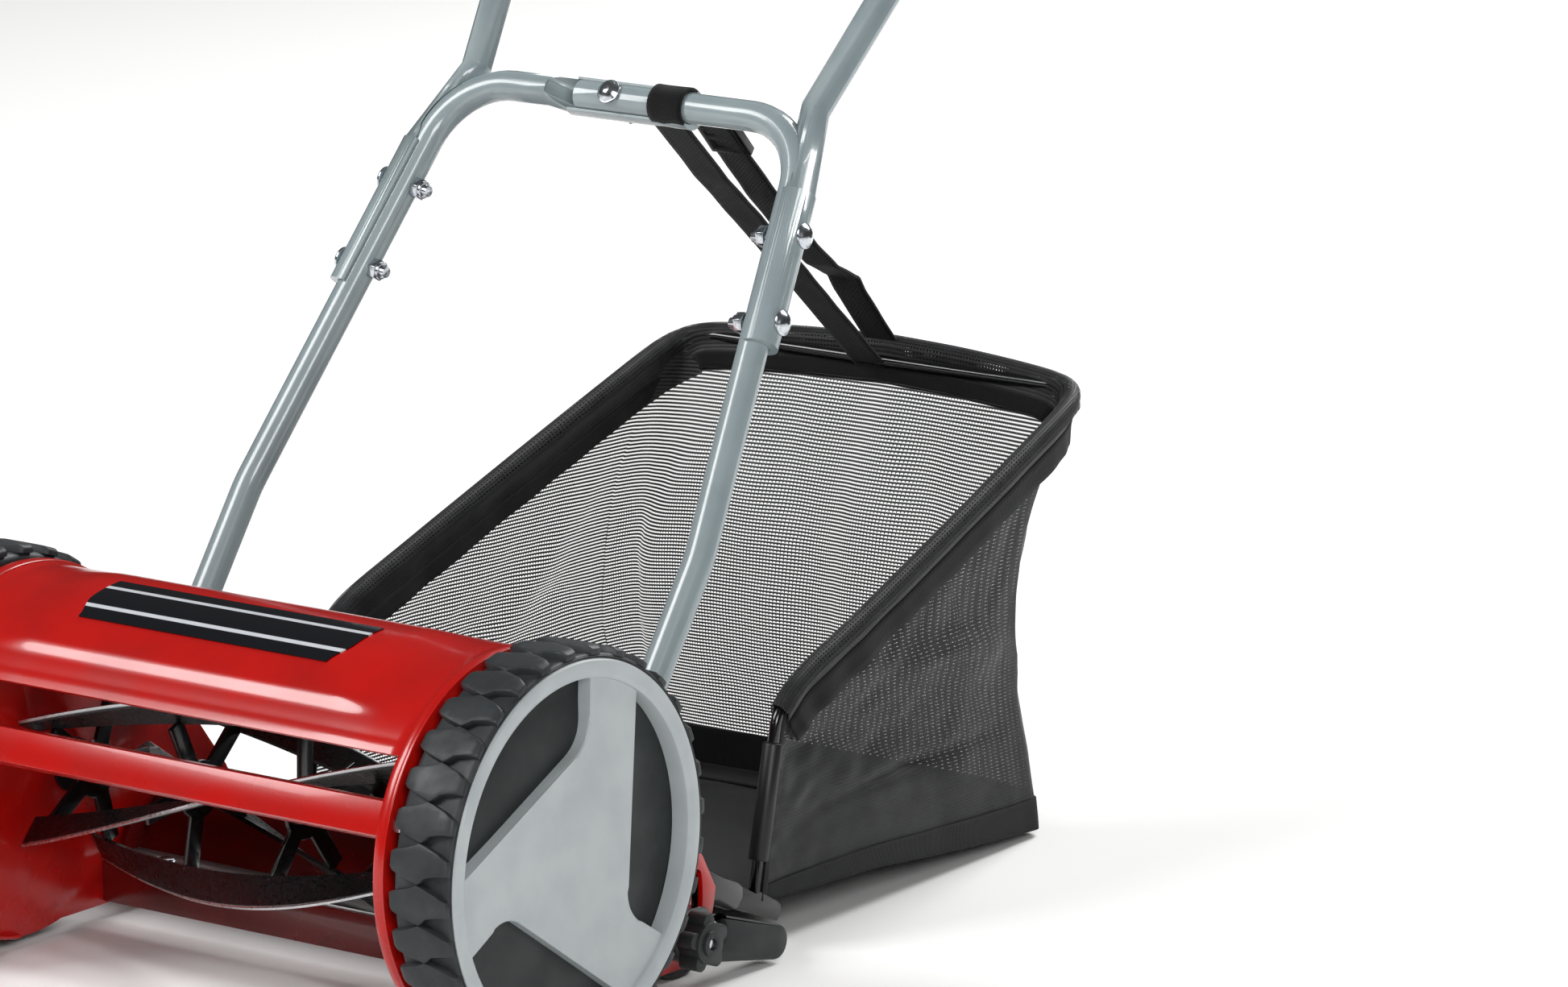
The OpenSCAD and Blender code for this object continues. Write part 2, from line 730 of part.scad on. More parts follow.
module handle_bar() {
    a = up_at(joint_to + 10);
    c = up_at(grip_reach);
    half = concat([a], bend(a, c, mirrored(c), 60, 12));
    route = concat(half, [for (i = [len(half) - 1:-1:0]) mirrored(half[i])]);
    color("#aeb8bd") difference() {
        union() {
            pipe(route, tube_r, tube_wall, 16, [0, 0.772, -0.613]);
            both_sides() {
                cup(up_at(joint_from), up_dir, up_out(), joint_to + 4 - joint_from);
                difference() {
                    along(up_at(joint_to + 3), up_dir) cylinder(h = 11, r = collar_out);
                    along(up_at(joint_to), up_dir) cylinder(h = 20, r = collar_in);
                }
            }
        }
        both_sides() for (t = upper_bolt_t)
            along(up_at(t), up_out()) cylinder(h = 20, r = hole_r);
    }
}

module foam_grip() {
    c = up_at(grip_reach);
    color("#151515") difference() {
        x_cyl(-grip_half, 2 * grip_half, [c[1], c[2]], foam_r);
        x_cyl(-grip_half - 1, 2 * grip_half + 2, [c[1], c[2]], tube_r + 0.05);
    }
}

// Round-headed bolt through a tube joint
module coach_bolt(p, d, head, reach) {
    along(p + (head - 0.1) * d, d) cylinder(h = 1.2, r = 6.5);
    along(p + (head + 1) * d, d) intersection() {
        translate([0, 0, -4.2]) sphere(r = 7.6);
        cylinder(h = 5, r = 6.3);
    }
    along(p - reach * d, d) cylinder(h = head + reach, r = bolt_r);
}

module handle_bolts() {
    color("silver") {
        both_sides() {
            for (v = leg_bolt_v) coach_bolt(leg_at(v), leg_out(), cup_reach + 0.2, 17);
            for (t = upper_bolt_t) coach_bolt(up_at(t), up_out(), cup_reach + 0.2, 18);
        }
        coach_bolt(hp(lap_bolt_x, 0, 0), face, tube_r + 0.2, 20);
    }
}

module joint_nut(p, d) {
    difference() {
        union() {
            along(p, d) hex(10, 4.5);
            along(p - 1.6 * d, d) cylinder(h = 2, r = 4.4);
        }
        along(p - 4 * d, d) cylinder(h = 12, r = bolt_r);
    }
}

module handle_nuts() {
    color("silver") {
        both_sides() for (v = leg_bolt_v) joint_nut(leg_at(v) - (tube_r + 4.6) * leg_out(), leg_out());
        joint_nut(hp(lap_bolt_x, 0, 0) - (cup_reach + 4.7) * face, face);
    }
}

module wing_nuts() {
    color("#1b1b1b") both_sides() for (t = upper_bolt_t) {
        p = up_at(t) - (tube_r + 0.1) * up_out();
        difference() {
            union() {
                along(p - 9 * up_out(), up_out()) cylinder(h = 9, r = 6);
                along(p - 9 * up_out(), up_out()) translate([-14, -2, 0]) cube([28, 4, 6]);
            }
            along(p - 12 * up_out(), up_out()) cylinder(h = 14, r = bolt_r);
        }
    }
}

module foot_bolts() {
    color("silver") both_sides() for (v = foot_v) {
        q = [hp(0, v, 0)[1], hp(0, v, 0)[2]];
        plate_bolt(q, plate_t + 2 * tube_r + 6);
        difference() {
            along([plate_in - 2 * tube_r - 4.4, q[0], q[1]], [1, 0, 0]) hex(10, 4.2);
            x_cyl(plate_in - 30, 20, q, bolt_r);
        }
    }
}

// ---- strap ----

strap_t = 2;
strap_x = 27;
strap_w = 20;
strap_skew = 7;
strap_loop = 12;
strap_drop = [519.3 - bar_at[1], 238.6 - bar_at[2]] / cos(strap_skew);
strap_angle = atan2(strap_drop[1], strap_drop[0]);

// Space of the strap: X across it, Y down it and Z out of its upper face, from the cross tube
module on_strap() {
    translate([strap_x, bar_at[1], bar_at[2]]) rotate([0, 0, strap_skew]) rotate([strap_angle, 0, 0]) children();
}

module strap() {
    s = norm(strap_drop);
    color("#121212") on_strap() side_extrude(-strap_w / 2, strap_w) difference() {
        polygon(concat(
            arc([0, 0], strap_loop + strap_t, 84, 276, 24),
            [[s * 0.55, -3], [s, -3], [s, 3], [s * 0.55, 3]]
        ));
        polygon(concat(arc([0, 0], strap_loop, 84, 276, 24), [[s * 0.5, -1], [s * 0.5, 1]]));
    }
}

module strap_buckle() {
    color("#1a1a1a") on_strap() translate([-strap_w / 2 - 2, 40, 12.2]) rotate([-4.5, 0, 0]) difference() {
        cube([strap_w + 4, 28, 5]);
        translate([4, 4, -1]) cube([strap_w - 4, 7, 8]);
        translate([4, 16, -1]) cube([strap_w - 4, 7, 8]);
    }
}

// ---- grass bag ----

module bag_frame() {
    half = concat(
        [rod_foot],
        bend(rod_foot, rod_bend, rim_front, 14, 5),
        bend(rod_bend, rim_front, rim_rear, 30, 3),
        bend(rim_front, rim_rear, mirrored(rim_rear), 26, 8)
    );
    route = concat(half, [for (i = [len(half) - 1:-1:0]) mirrored(half[i])]);
    color("#0f0f10") rod(route, rod_r, 10, [0.03, -0.36, 0.93]);
}

module bag_sleeves() {
    d = unit(rod_bend - rod_foot);
    color("#191a1b") both_sides() difference() {
        along(rod_foot + 16 * d, d) cylinder(h = 60, r = 5.2);
        along(rod_foot + 15 * d, d) cylinder(h = 62, r = rod_r + 0.1);
    }
}

module bag_feet() {
    color("#0f0f10") both_sides() difference() {
        side_extrude(foot_x, foot_w) polygon(concat(
            arc(bag_pin, 6.5, 250, 66, 16),
            [[208, 30.9], [212, 30.9], [228, 22], [230, 19], [229, 14.5], [226, 12.5]]
        ));
        x_cyl(foot_x - 1, foot_w + 2, bag_pin, rod_r + run);
    }
}

// Bag body between its side outline and its plan outline, smaller by inset
module bag_body(inset) {
    plan_front = bag_front_x + 1.25 - inset;
    plan_rear = bag_rear_x + 1.25 - inset;
    intersection() {
        side_extrude(-160, 320) bag_outline(inset);
        linear_extrude(320) polygon([
            [-plan_front - 0.6, 205], [plan_front + 0.6, 205], [plan_rear, 530], [-plan_rear, 530]
        ]);
    }
}

module bag_outline(inset) {
    up = inset > 0 ? 60 : 0;
    front = inset > 0 ? 30 : 0;
    n = len(rear_line) - 1;
    polygon(concat(
        [[floor_line[0][0] - front, floor_line[0][1] + inset]],
        [for (q = floor_line) q + [-inset * 0.4, inset]],
        [for (q = rear_line) q + [-inset, 0]],
        [rear_line[n] + [-inset + up * 0.4, up], [246 - front, 131 + up], [229 - front, 119 + up]]
    ));
}

module floor_zone() {
    side_extrude(-160, 320) polygon(concat(
        [[200, 20], [200, floor_line[0][1] + bag_wall]],
        [for (q = floor_line) q + [-bag_wall * 0.4, bag_wall]],
        [[483.5, 5], [487, -5], [300, -5]]
    ));
}

// Bag skin, cut clear of the foot bars and of the sleeves on the front rods
module bag_shell() {
    d = unit(rod_bend - rod_foot);
    difference() {
        bag_body(0);
        bag_body(bag_wall);
        both_sides() {
            side_extrude(foot_x - 0.2, 20) polygon([[180, -5], [230.3, -5], [230.3, 31.2], [180, 31.2]]);
            along(rod_foot + 15.5 * d, d) cylinder(h = 61, r = 5.4);
        }
    }
}

module bag_floor() {
    color("#141515") intersection() {
        bag_shell();
        floor_zone();
    }
}

module bag_mesh() {
    color("#222324") difference() {
        bag_shell();
        floor_zone();
    }
}

// ---- nodes ----

side_plate();  // side_plate_right
mirror([1, 0, 0]) side_plate();  // side_plate_left
deck_cover();
deck_panel();
tie_bar();
frame_bolts();
wheel_axle();  // wheel_axle_right
mirror([1, 0, 0]) wheel_axle();  // wheel_axle_left
axle_clips();
reel_bushes();
height_pivots();
bag_hooks();
lower_tube(1);  // lower_tube_right
mirror([1, 0, 0]) lower_tube(-1);  // lower_tube_left
upper_tube();  // upper_tube_right
mirror([1, 0, 0]) upper_tube();  // upper_tube_left
handle_bar();
foam_grip();
foot_bolts();
handle_bolts();
handle_nuts();
wing_nuts();
strap();
strap_buckle();
knife_carrier();
bed_knife();
knife_screws();
tyre();  // tyre_right
wheel_rim();  // wheel_rim_right
ring_gear();  // ring_gear_right
wheel_trim();  // wheel_trim_right
mirror([1, 0, 0]) tyre();  // tyre_left
mirror([1, 0, 0]) wheel_rim();  // wheel_rim_left
mirror([1, 0, 0]) ring_gear();  // ring_gear_left
mirror([1, 0, 0]) wheel_trim();  // wheel_trim_left
reel_shaft();
reel_spiders();
reel_blade(0);  // reel_blade_1
reel_blade(1);  // reel_blade_2
reel_blade(2);  // reel_blade_3
reel_blade(3);  // reel_blade_4
reel_blade(4);  // reel_blade_5
pinion();  // pinion_right
mirror([1, 0, 0]) pinion();  // pinion_left
roller_drum();
roller_caps();
roller_plates();
rear_arm();  // rear_arm_right
mirror([1, 0, 0]) rear_arm();  // rear_arm_left
roller_axle();
roller_nuts();
clamp_bolts();
star_knob();  // star_knob_right
mirror([1, 0, 0]) star_knob();  // star_knob_left
bag_frame();
bag_sleeves();
bag_feet();
bag_floor();
bag_mesh();
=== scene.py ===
import json
import math

import bmesh
import bpy
from mathutils import Matrix, Vector, noise

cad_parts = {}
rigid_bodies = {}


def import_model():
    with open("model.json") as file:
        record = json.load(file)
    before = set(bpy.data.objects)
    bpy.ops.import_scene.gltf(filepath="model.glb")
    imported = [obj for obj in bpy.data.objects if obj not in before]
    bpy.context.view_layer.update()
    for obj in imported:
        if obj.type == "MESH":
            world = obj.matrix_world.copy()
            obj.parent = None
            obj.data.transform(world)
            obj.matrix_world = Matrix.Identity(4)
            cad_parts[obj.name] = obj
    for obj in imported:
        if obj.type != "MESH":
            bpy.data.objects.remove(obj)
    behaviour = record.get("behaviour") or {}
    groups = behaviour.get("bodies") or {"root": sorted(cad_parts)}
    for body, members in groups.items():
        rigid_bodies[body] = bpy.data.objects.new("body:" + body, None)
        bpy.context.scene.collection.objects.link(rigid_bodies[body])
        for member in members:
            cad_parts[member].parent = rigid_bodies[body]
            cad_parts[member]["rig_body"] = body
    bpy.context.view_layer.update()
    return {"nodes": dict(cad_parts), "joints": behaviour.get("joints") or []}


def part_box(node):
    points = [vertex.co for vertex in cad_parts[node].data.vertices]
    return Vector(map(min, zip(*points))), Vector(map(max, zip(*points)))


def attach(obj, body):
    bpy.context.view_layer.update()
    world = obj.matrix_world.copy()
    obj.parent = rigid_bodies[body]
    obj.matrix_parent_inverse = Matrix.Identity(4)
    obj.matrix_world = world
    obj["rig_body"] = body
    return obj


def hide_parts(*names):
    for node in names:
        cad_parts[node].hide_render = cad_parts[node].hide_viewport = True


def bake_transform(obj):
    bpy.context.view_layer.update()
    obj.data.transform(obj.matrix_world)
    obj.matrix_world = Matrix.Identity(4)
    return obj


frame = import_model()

# Hand-pushed reel mower with a net grass bag. Lengths are in metres, in the CAD's own frame.
mm = 0.001
scene = bpy.context.scene
nodes = frame["nodes"]
joints = {j["name"]: j for j in frame["joints"]}
wheelHub = Vector(joints["wheel_right_spin"]["pos_m"])
reelAxis = Vector(joints["reel_spin"]["pos_m"])
right, left = 1, -1


# Small helpers

# A hex sRGB colour as linear values
def srgb(code):
    parts = [int(code[i:i + 2], 16) / 255 for i in (1, 3, 5)]
    return tuple(c / 12.92 if c <= 0.04045 else ((c + 0.055) / 1.055) ** 2.4 for c in parts) + (1.0,)


def addNode(tree, kind, inputs=None, **settings):
    made = tree.nodes.new(kind)
    for key, value in settings.items():
        setattr(made, key, value)
    for key, value in (inputs or {}).items():
        if isinstance(value, bpy.types.NodeSocket):
            tree.links.new(value, made.inputs[key])
        else:
            made.inputs[key].default_value = value
    return made


def newMaterial(name, **constants):
    material = bpy.data.materials.new(name)
    material.use_nodes = True
    tree = material.node_tree
    shader = tree.nodes["Principled BSDF"]
    for key, value in constants.items():
        shader.inputs[key.replace("_", " ")].default_value = value
    return material, tree, shader


def link(tree, source, shader, socket):
    tree.links.new(source, shader.inputs[socket])


def smooth(t):
    t = max(0.0, min(1.0, t))
    return t * t * (3 - 2 * t)


def mixPoint(a, b, t):
    return Vector(a) * (1 - t) + Vector(b) * t


def newPiece(name, bm, material, body, replaced=(), sharp=35):
    mesh = bpy.data.meshes.new(name)
    bm.to_mesh(mesh)
    bm.free()
    mesh.shade_smooth()
    mesh.set_sharp_from_angle(angle=math.radians(sharp))
    for one in material if isinstance(material, list) else [material]:
        mesh.materials.append(one)
    piece = bpy.data.objects.new(name, mesh)
    scene.collection.objects.link(piece)
    if body:
        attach(piece, body)
    if replaced:
        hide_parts(*replaced)
    return piece


def mirrored(bm):
    bmesh.ops.scale(bm, vec=(-1, 1, 1), verts=bm.verts)
    bmesh.ops.reverse_faces(bm, faces=bm.faces)


def cleaned(bm, size=1e-5):
    bmesh.ops.remove_doubles(bm, verts=bm.verts, dist=size)
    bmesh.ops.recalc_face_normals(bm, faces=bm.faces)


def rounded(bm, width, above=30, segments=2):
    edges = [e for e in bm.edges if len(e.link_faces) == 2 and e.calc_face_angle(0) > math.radians(above)]
    bmesh.ops.bevel(bm, geom=edges, offset=width, offset_type="OFFSET", affect="EDGES",
                    segments=segments, profile=0.5, material=-1, clamp_overlap=True)


# A CAD piece's own shape with its edges eased, as pressed, moulded or deburred ones are
def softCopy(node, name, material, width=0.3 * mm, sharp=35, above=30):
    bm = bmesh.new()
    bm.from_mesh(nodes[node].data)
    bmesh.ops.remove_doubles(bm, verts=bm.verts, dist=1e-6)
    if width:
        bmesh.ops.dissolve_limit(bm, angle_limit=math.radians(0.4), verts=bm.verts, edges=bm.edges)
        rounded(bm, width, above)
    return newPiece(name, bm, material, nodes[node]["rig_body"], [node], sharp)


# Turns an outline of (x, radius) points a full circle round the X axis through centre
def spun(profile, centre, steps=96):
    bm = bmesh.new()
    verts = [bm.verts.new((x, centre[1], centre[2] + r)) for x, r in profile]
    edges = [bm.edges.new(pair) for pair in zip(verts, verts[1:])]
    bmesh.ops.spin(bm, geom=verts + edges, cent=centre, axis=(1, 0, 0), angle=math.tau, steps=steps,
        use_merge=True)
    cleaned(bm)
    return bm


# Adds another bmesh's shape to bm
def merge(bm, other):
    mesh = bpy.data.meshes.new("joined")
    other.to_mesh(mesh)
    other.free()
    bm.from_mesh(mesh)
    bpy.data.meshes.remove(mesh)


# Camera and light

view = {"place": (2.4902, -2.9463, 1.1187), "azimuth": 36.36, "elevation": 12.64, "lens": 185.0}


def makeCamera():
    data = bpy.data.cameras.new("camera")
    data.lens = view["lens"]
    data.sensor_width = 36.0
    data.clip_start, data.clip_end = 0.1, 60.0
    camera = bpy.data.objects.new("camera", data)
    scene.collection.objects.link(camera)
    a, e = math.radians(view["azimuth"]), math.radians(view["elevation"])
    ahead = Vector((-math.sin(a) * math.cos(e), math.cos(a) * math.cos(e), -math.sin(e)))
    camera.location = view["place"]
    camera.rotation_euler = ahead.to_track_quat("-Z", "Y").to_euler()
    scene.camera = camera


studio = {
    "floor": "#fbfbfa", "roomLow": 0.42, "roomHigh": 1.75,
    "lamps": [  # place, size, watts
        ((-1.9, -2.3, 2.7), 1.7, 105), ((2.6, -2.2, 1.7), 1.3, 62), ((0.2, 3.4, 3.0), 2.2, 190),
    ],
}


def makeStudio():
    bm = bmesh.new()
    bmesh.ops.create_grid(bm, x_segments=2, y_segments=2, size=14)
    mesh = bpy.data.meshes.new("studioFloor")
    bm.to_mesh(mesh)
    bm.free()
    floor = bpy.data.objects.new("studioFloor", mesh)
    scene.collection.objects.link(floor)
    paint, tree, shader = newMaterial("paleStudioPaper", Roughness=0.85, Base_Color=srgb(studio["floor"]))
    mesh.materials.append(paint)
    for place, size, watts in studio["lamps"]:
        data = bpy.data.lights.new("softBox", "AREA")
        data.energy, data.size = watts, size
        lamp = bpy.data.objects.new("softBox", data)
        lamp.location = place
        lamp.rotation_euler = (Vector((0, 0.15, 0.3)) - Vector(place)).to_track_quat("-Z", "Y").to_euler()
        scene.collection.objects.link(lamp)
    world = bpy.data.worlds.new("studioRoom")
    scene.world = world
    world.use_nodes = True
    tree = world.node_tree
    back = tree.nodes["Background"]
    place = addNode(tree, "ShaderNodeTexCoord")
    parts = addNode(tree, "ShaderNodeSeparateXYZ", {"Vector": place.outputs["Generated"]})
    sky = addNode(tree, "ShaderNodeMapRange", {
        "Value": parts.outputs["Z"], "From Min": 0.05, "From Max": 0.8,
        "To Min": studio["roomLow"], "To Max": studio["roomHigh"]})
    link(tree, sky.outputs["Result"], back, "Strength")
    scene.view_settings.view_transform = "Standard"


makeCamera()
makeStudio()
print("camera and studio ready")


# Materials

# Fine relief on Object coordinates: size is the grain's width in metres, depth its height
def grain(tree, shader, size, depth, detail=2.0, extra=None):
    place = addNode(tree, "ShaderNodeTexCoord")
    tone = addNode(tree, "ShaderNodeTexNoise", {"Vector": place.outputs["Object"], "Scale": 1 / size,
        "Detail": detail})
    bump = addNode(tree, "ShaderNodeBump", {"Height": tone.outputs["Fac"], "Distance": depth, "Strength": 1.0})
    link(tree, bump.outputs["Normal"], shader, "Normal")
    return place, tone


# Ramp from one colour to another over part of a 0 to 1 value
def between(tree, factor, low, high, start=0.35, end=0.65):
    ramp = addNode(tree, "ShaderNodeValToRGB", {"Fac": factor})
    ramp.color_ramp.elements[0].position, ramp.color_ramp.elements[0].color = start, low
    ramp.color_ramp.elements[1].position, ramp.color_ramp.elements[1].color = end, high
    return ramp.outputs["Color"]


def grey(value):
    return (value, value, value, 1.0)


# Sprayed coat: gloss with a soft orange peel, a little darker in broad patches
def makePaint(name, colour, shade, roughness, peel=1.6 * mm, coat=0.4):
    material, tree, shader = newMaterial(name, Coat_Weight=coat, Coat_Roughness=0.06, IOR=1.5)
    place, tone = grain(tree, shader, peel, 0.012 * mm, 1.0)
    cloud = addNode(tree, "ShaderNodeTexNoise", {"Vector": place.outputs["Object"], "Scale": 22.0,
        "Detail": 3.0})
    link(tree, between(tree, cloud.outputs["Fac"], srgb(shade), srgb(colour), 0.3, 0.6), shader, "Base Color")
    link(tree, between(tree, cloud.outputs["Fac"], grey(roughness * 1.25), grey(roughness)), shader,
        "Roughness")
    return material


# Moulded plastic with a spark-eroded grain and faint scuffs
def makePlastic(name, colour, shade, roughness, size, depth):
    material, tree, shader = newMaterial(name, IOR=1.48)
    place, tone = grain(tree, shader, size, depth, 3.0)
    cloud = addNode(tree, "ShaderNodeTexNoise", {"Vector": place.outputs["Object"], "Scale": 35.0,
        "Detail": 4.0})
    link(tree, between(tree, cloud.outputs["Fac"], srgb(shade), srgb(colour)), shader, "Base Color")
    link(tree, between(tree, cloud.outputs["Fac"], grey(roughness + 0.08), grey(roughness - 0.04)), shader,
        "Roughness")
    return material


# Plated or ground steel; stretch draws the grinding lines out along X
def makeMetal(name, colour, shade, roughness, stretch):
    material, tree, shader = newMaterial(name, Metallic=1.0)
    place = addNode(tree, "ShaderNodeTexCoord")
    turn = addNode(tree, "ShaderNodeMapping", {"Vector": place.outputs["Object"], "Scale": (1 / stretch, 1, 1)})
    tone = addNode(tree, "ShaderNodeTexNoise", {"Vector": turn.outputs["Vector"], "Scale": 900.0,
        "Detail": 2.0})
    link(tree, between(tree, tone.outputs["Fac"], srgb(shade), srgb(colour)), shader, "Base Color")
    link(tree, between(tree, tone.outputs["Fac"], grey(roughness + 0.1), grey(roughness)), shader, "Roughness")
    bump = addNode(tree, "ShaderNodeBump", {"Height": tone.outputs["Fac"], "Distance": 0.01 * mm,
        "Strength": 0.5})
    link(tree, bump.outputs["Normal"], shader, "Normal")
    return material


# Soft PVC tread: matt charcoal with a dry bloom in the hollows
def makeTyreCompound():
    material, tree, shader = newMaterial("softTreadCompound", IOR=1.5)
    place, tone = grain(tree, shader, 0.7 * mm, 0.05 * mm, 4.0)
    cloud = addNode(tree, "ShaderNodeTexNoise", {"Vector": place.outputs["Object"], "Scale": 60.0,
        "Detail": 5.0})
    link(tree, between(tree, cloud.outputs["Fac"], srgb("#1b1e21"), srgb("#2a2e31")), shader, "Base Color")
    link(tree, between(tree, cloud.outputs["Fac"], grey(0.62), grey(0.48)), shader, "Roughness")
    return material


# Blackened blade strip whose cutting edge is ground bright
def makeBladeSteel():
    material, tree, shader = newMaterial("hardenedBladeStrip")
    place = addNode(tree, "ShaderNodeTexCoord")
    shift = addNode(tree, "ShaderNodeMapping", {
        "Vector": place.outputs["Object"], "Location": (0, -reelAxis.y, -reelAxis.z)})
    flat = addNode(tree, "ShaderNodeVectorMath", {0: shift.outputs["Vector"], 1: (0, 1, 1)},
        operation="MULTIPLY")
    radius = addNode(tree, "ShaderNodeVectorMath", {0: flat.outputs["Vector"]}, operation="LENGTH")
    edge = addNode(tree, "ShaderNodeMapRange", {
        "Value": radius.outputs["Value"], "From Min": 54.2 * mm, "From Max": 54.9 * mm}, clamp=True)
    streak = addNode(tree, "ShaderNodeTexNoise", {"Vector": place.outputs["Object"], "Scale": 500.0,
        "Detail": 3.0})
    colour = addNode(tree, "ShaderNodeMix", {
        "Factor": edge.outputs["Result"], "A": srgb("#101112"), "B": srgb("#cfd2d4")}, data_type="RGBA")
    link(tree, colour.outputs[2], shader, "Base Color")
    link(tree, edge.outputs["Result"], shader, "Metallic")
    link(tree, between(tree, streak.outputs["Fac"], grey(0.24), grey(0.4)), shader, "Roughness")
    return material


# Warp-knitted polyester net on the cloth's own UV map in metres: level zigzag rows joined by fine stitches
def makeNet(name, row, stitch, cover, join, colour, light, denser=0.0):
    material, tree, shader = newMaterial(name, Roughness=0.6, Sheen_Weight=0.1, Sheen_Roughness=0.4)
    material.surface_render_method = "DITHERED"
    place = addNode(tree, "ShaderNodeUVMap", uv_map="cloth")
    parts = addNode(tree, "ShaderNodeSeparateXYZ", {"Vector": place.outputs["UV"]})

    def math2(kind, a, b):
        return addNode(tree, "ShaderNodeMath", {0: a, 1: b}, operation=kind).outputs["Value"]

    zigzag = math2("PINGPONG", parts.outputs["X"], stitch / 2)
    level = math2("ADD", parts.outputs["Y"], math2("MULTIPLY", zigzag, 0.55))
    band = math2("DIVIDE", math2("PINGPONG", level, row / 2), row / 2)
    where = addNode(tree, "ShaderNodeTexCoord")
    side = addNode(tree, "ShaderNodeSeparateXYZ", {"Vector": where.outputs["Object"]})
    wall = addNode(tree, "ShaderNodeMapRange", {
        "Value": side.outputs["X"], "From Min": 0.116, "From Max": 0.130, "To Max": denser}, clamp=True)
    thick = math2("ADD", band, wall.outputs["Result"])
    rows = addNode(tree, "ShaderNodeMapRange", {"Value": thick, "From Min": 0.94 - cover,
        "From Max": 1.06 - cover}, clamp=True)
    thread = math2("DIVIDE", zigzag, stitch / 2)
    joins = addNode(tree, "ShaderNodeMapRange", {"Value": thread, "From Min": 0.94 - join,
        "From Max": 1.06 - join}, clamp=True)
    solid = math2("MAXIMUM", rows.outputs["Result"], joins.outputs["Result"])
    cloud = addNode(tree, "ShaderNodeTexNoise", {"Vector": place.outputs["UV"], "Scale": 90.0, "Detail": 3.0})
    link(tree, between(tree, cloud.outputs["Fac"], srgb(colour), srgb(light)), shader, "Base Color")
    link(tree, solid, shader, "Alpha")
    bump = addNode(tree, "ShaderNodeBump", {"Height": solid, "Distance": 0.2 * mm, "Strength": 0.6})
    link(tree, bump.outputs["Normal"], shader, "Normal")
    return material


# Plain weave or ribbed webbing: thread is the spacing in metres
def makeCloth(name, colour, light, thread, ribs=False):
    material, tree, shader = newMaterial(name, Sheen_Weight=0.06, Sheen_Roughness=0.5, Specular_IOR_Level=0.22)
    place = addNode(tree, "ShaderNodeUVMap", uv_map="cloth")
    across = addNode(tree, "ShaderNodeTexWave", {"Vector": place.outputs["UV"], "Scale": 0.314 / thread,
        "Distortion": 0.6},
                     bands_direction="DIAGONAL" if ribs else "X")
    along = addNode(tree, "ShaderNodeTexWave", {"Vector": place.outputs["UV"], "Scale": 0.314 / thread,
        "Distortion": 0.6},
                    bands_direction="Y")
    weave = addNode(tree, "ShaderNodeMath", {0: across.outputs["Fac"], 1: along.outputs["Fac"]},
        operation="MULTIPLY")
    link(tree, between(tree, weave.outputs["Value"], srgb(colour), srgb(light), 0.1, 0.9), shader, "Base Color")
    link(tree, between(tree, weave.outputs["Value"], grey(0.8), grey(0.5), 0.0, 1.0), shader, "Roughness")
    bump = addNode(tree, "ShaderNodeBump", {"Height": weave.outputs["Value"], "Distance": 0.25 * mm,
        "Strength": 0.8})
    link(tree, bump.outputs["Normal"], shader, "Normal")
    return material


# Closed-cell grip foam: matt black skin with open pores
def makeFoam():
    material, tree, shader = newMaterial("closedCellFoam", Roughness=0.85)
    place = addNode(tree, "ShaderNodeTexCoord")
    cells = addNode(tree, "ShaderNodeTexVoronoi", {"Vector": place.outputs["Object"], "Scale": 650.0})
    link(tree, between(tree, cells.outputs["Distance"], srgb("#17181a"), srgb("#2a2b2d"), 0.0, 0.7), shader,
        "Base Color")
    bump = addNode(tree, "ShaderNodeBump", {"Height": cells.outputs["Distance"], "Distance": 0.3 * mm,
        "Strength": 0.5})
    link(tree, bump.outputs["Normal"], shader, "Normal")
    return material


# Gloss black inlay with two thin silver lines along the deck and no lettering
def makeInlay():
    material, tree, shader = newMaterial("glossBlackInlay", Coat_Weight=0.5, Coat_Roughness=0.05)
    place = addNode(tree, "ShaderNodeUVMap", uv_map="cloth")
    parts = addNode(tree, "ShaderNodeSeparateXYZ", {"Vector": place.outputs["UV"]})
    lines = addNode(tree, "ShaderNodeTexWave", {"Vector": place.outputs["UV"], "Scale": 16.0},
        bands_direction="Y")
    link(tree, between(tree, lines.outputs["Fac"], srgb("#0a0c12"), srgb("#cfd3d8"), 0.93, 0.96), shader,
        "Base Color")
    tone = addNode(tree, "ShaderNodeTexNoise", {"Vector": parts.outputs["X"], "Scale": 300.0})
    link(tree, between(tree, tone.outputs["Fac"], grey(0.12), grey(0.2)), shader, "Roughness")
    return material


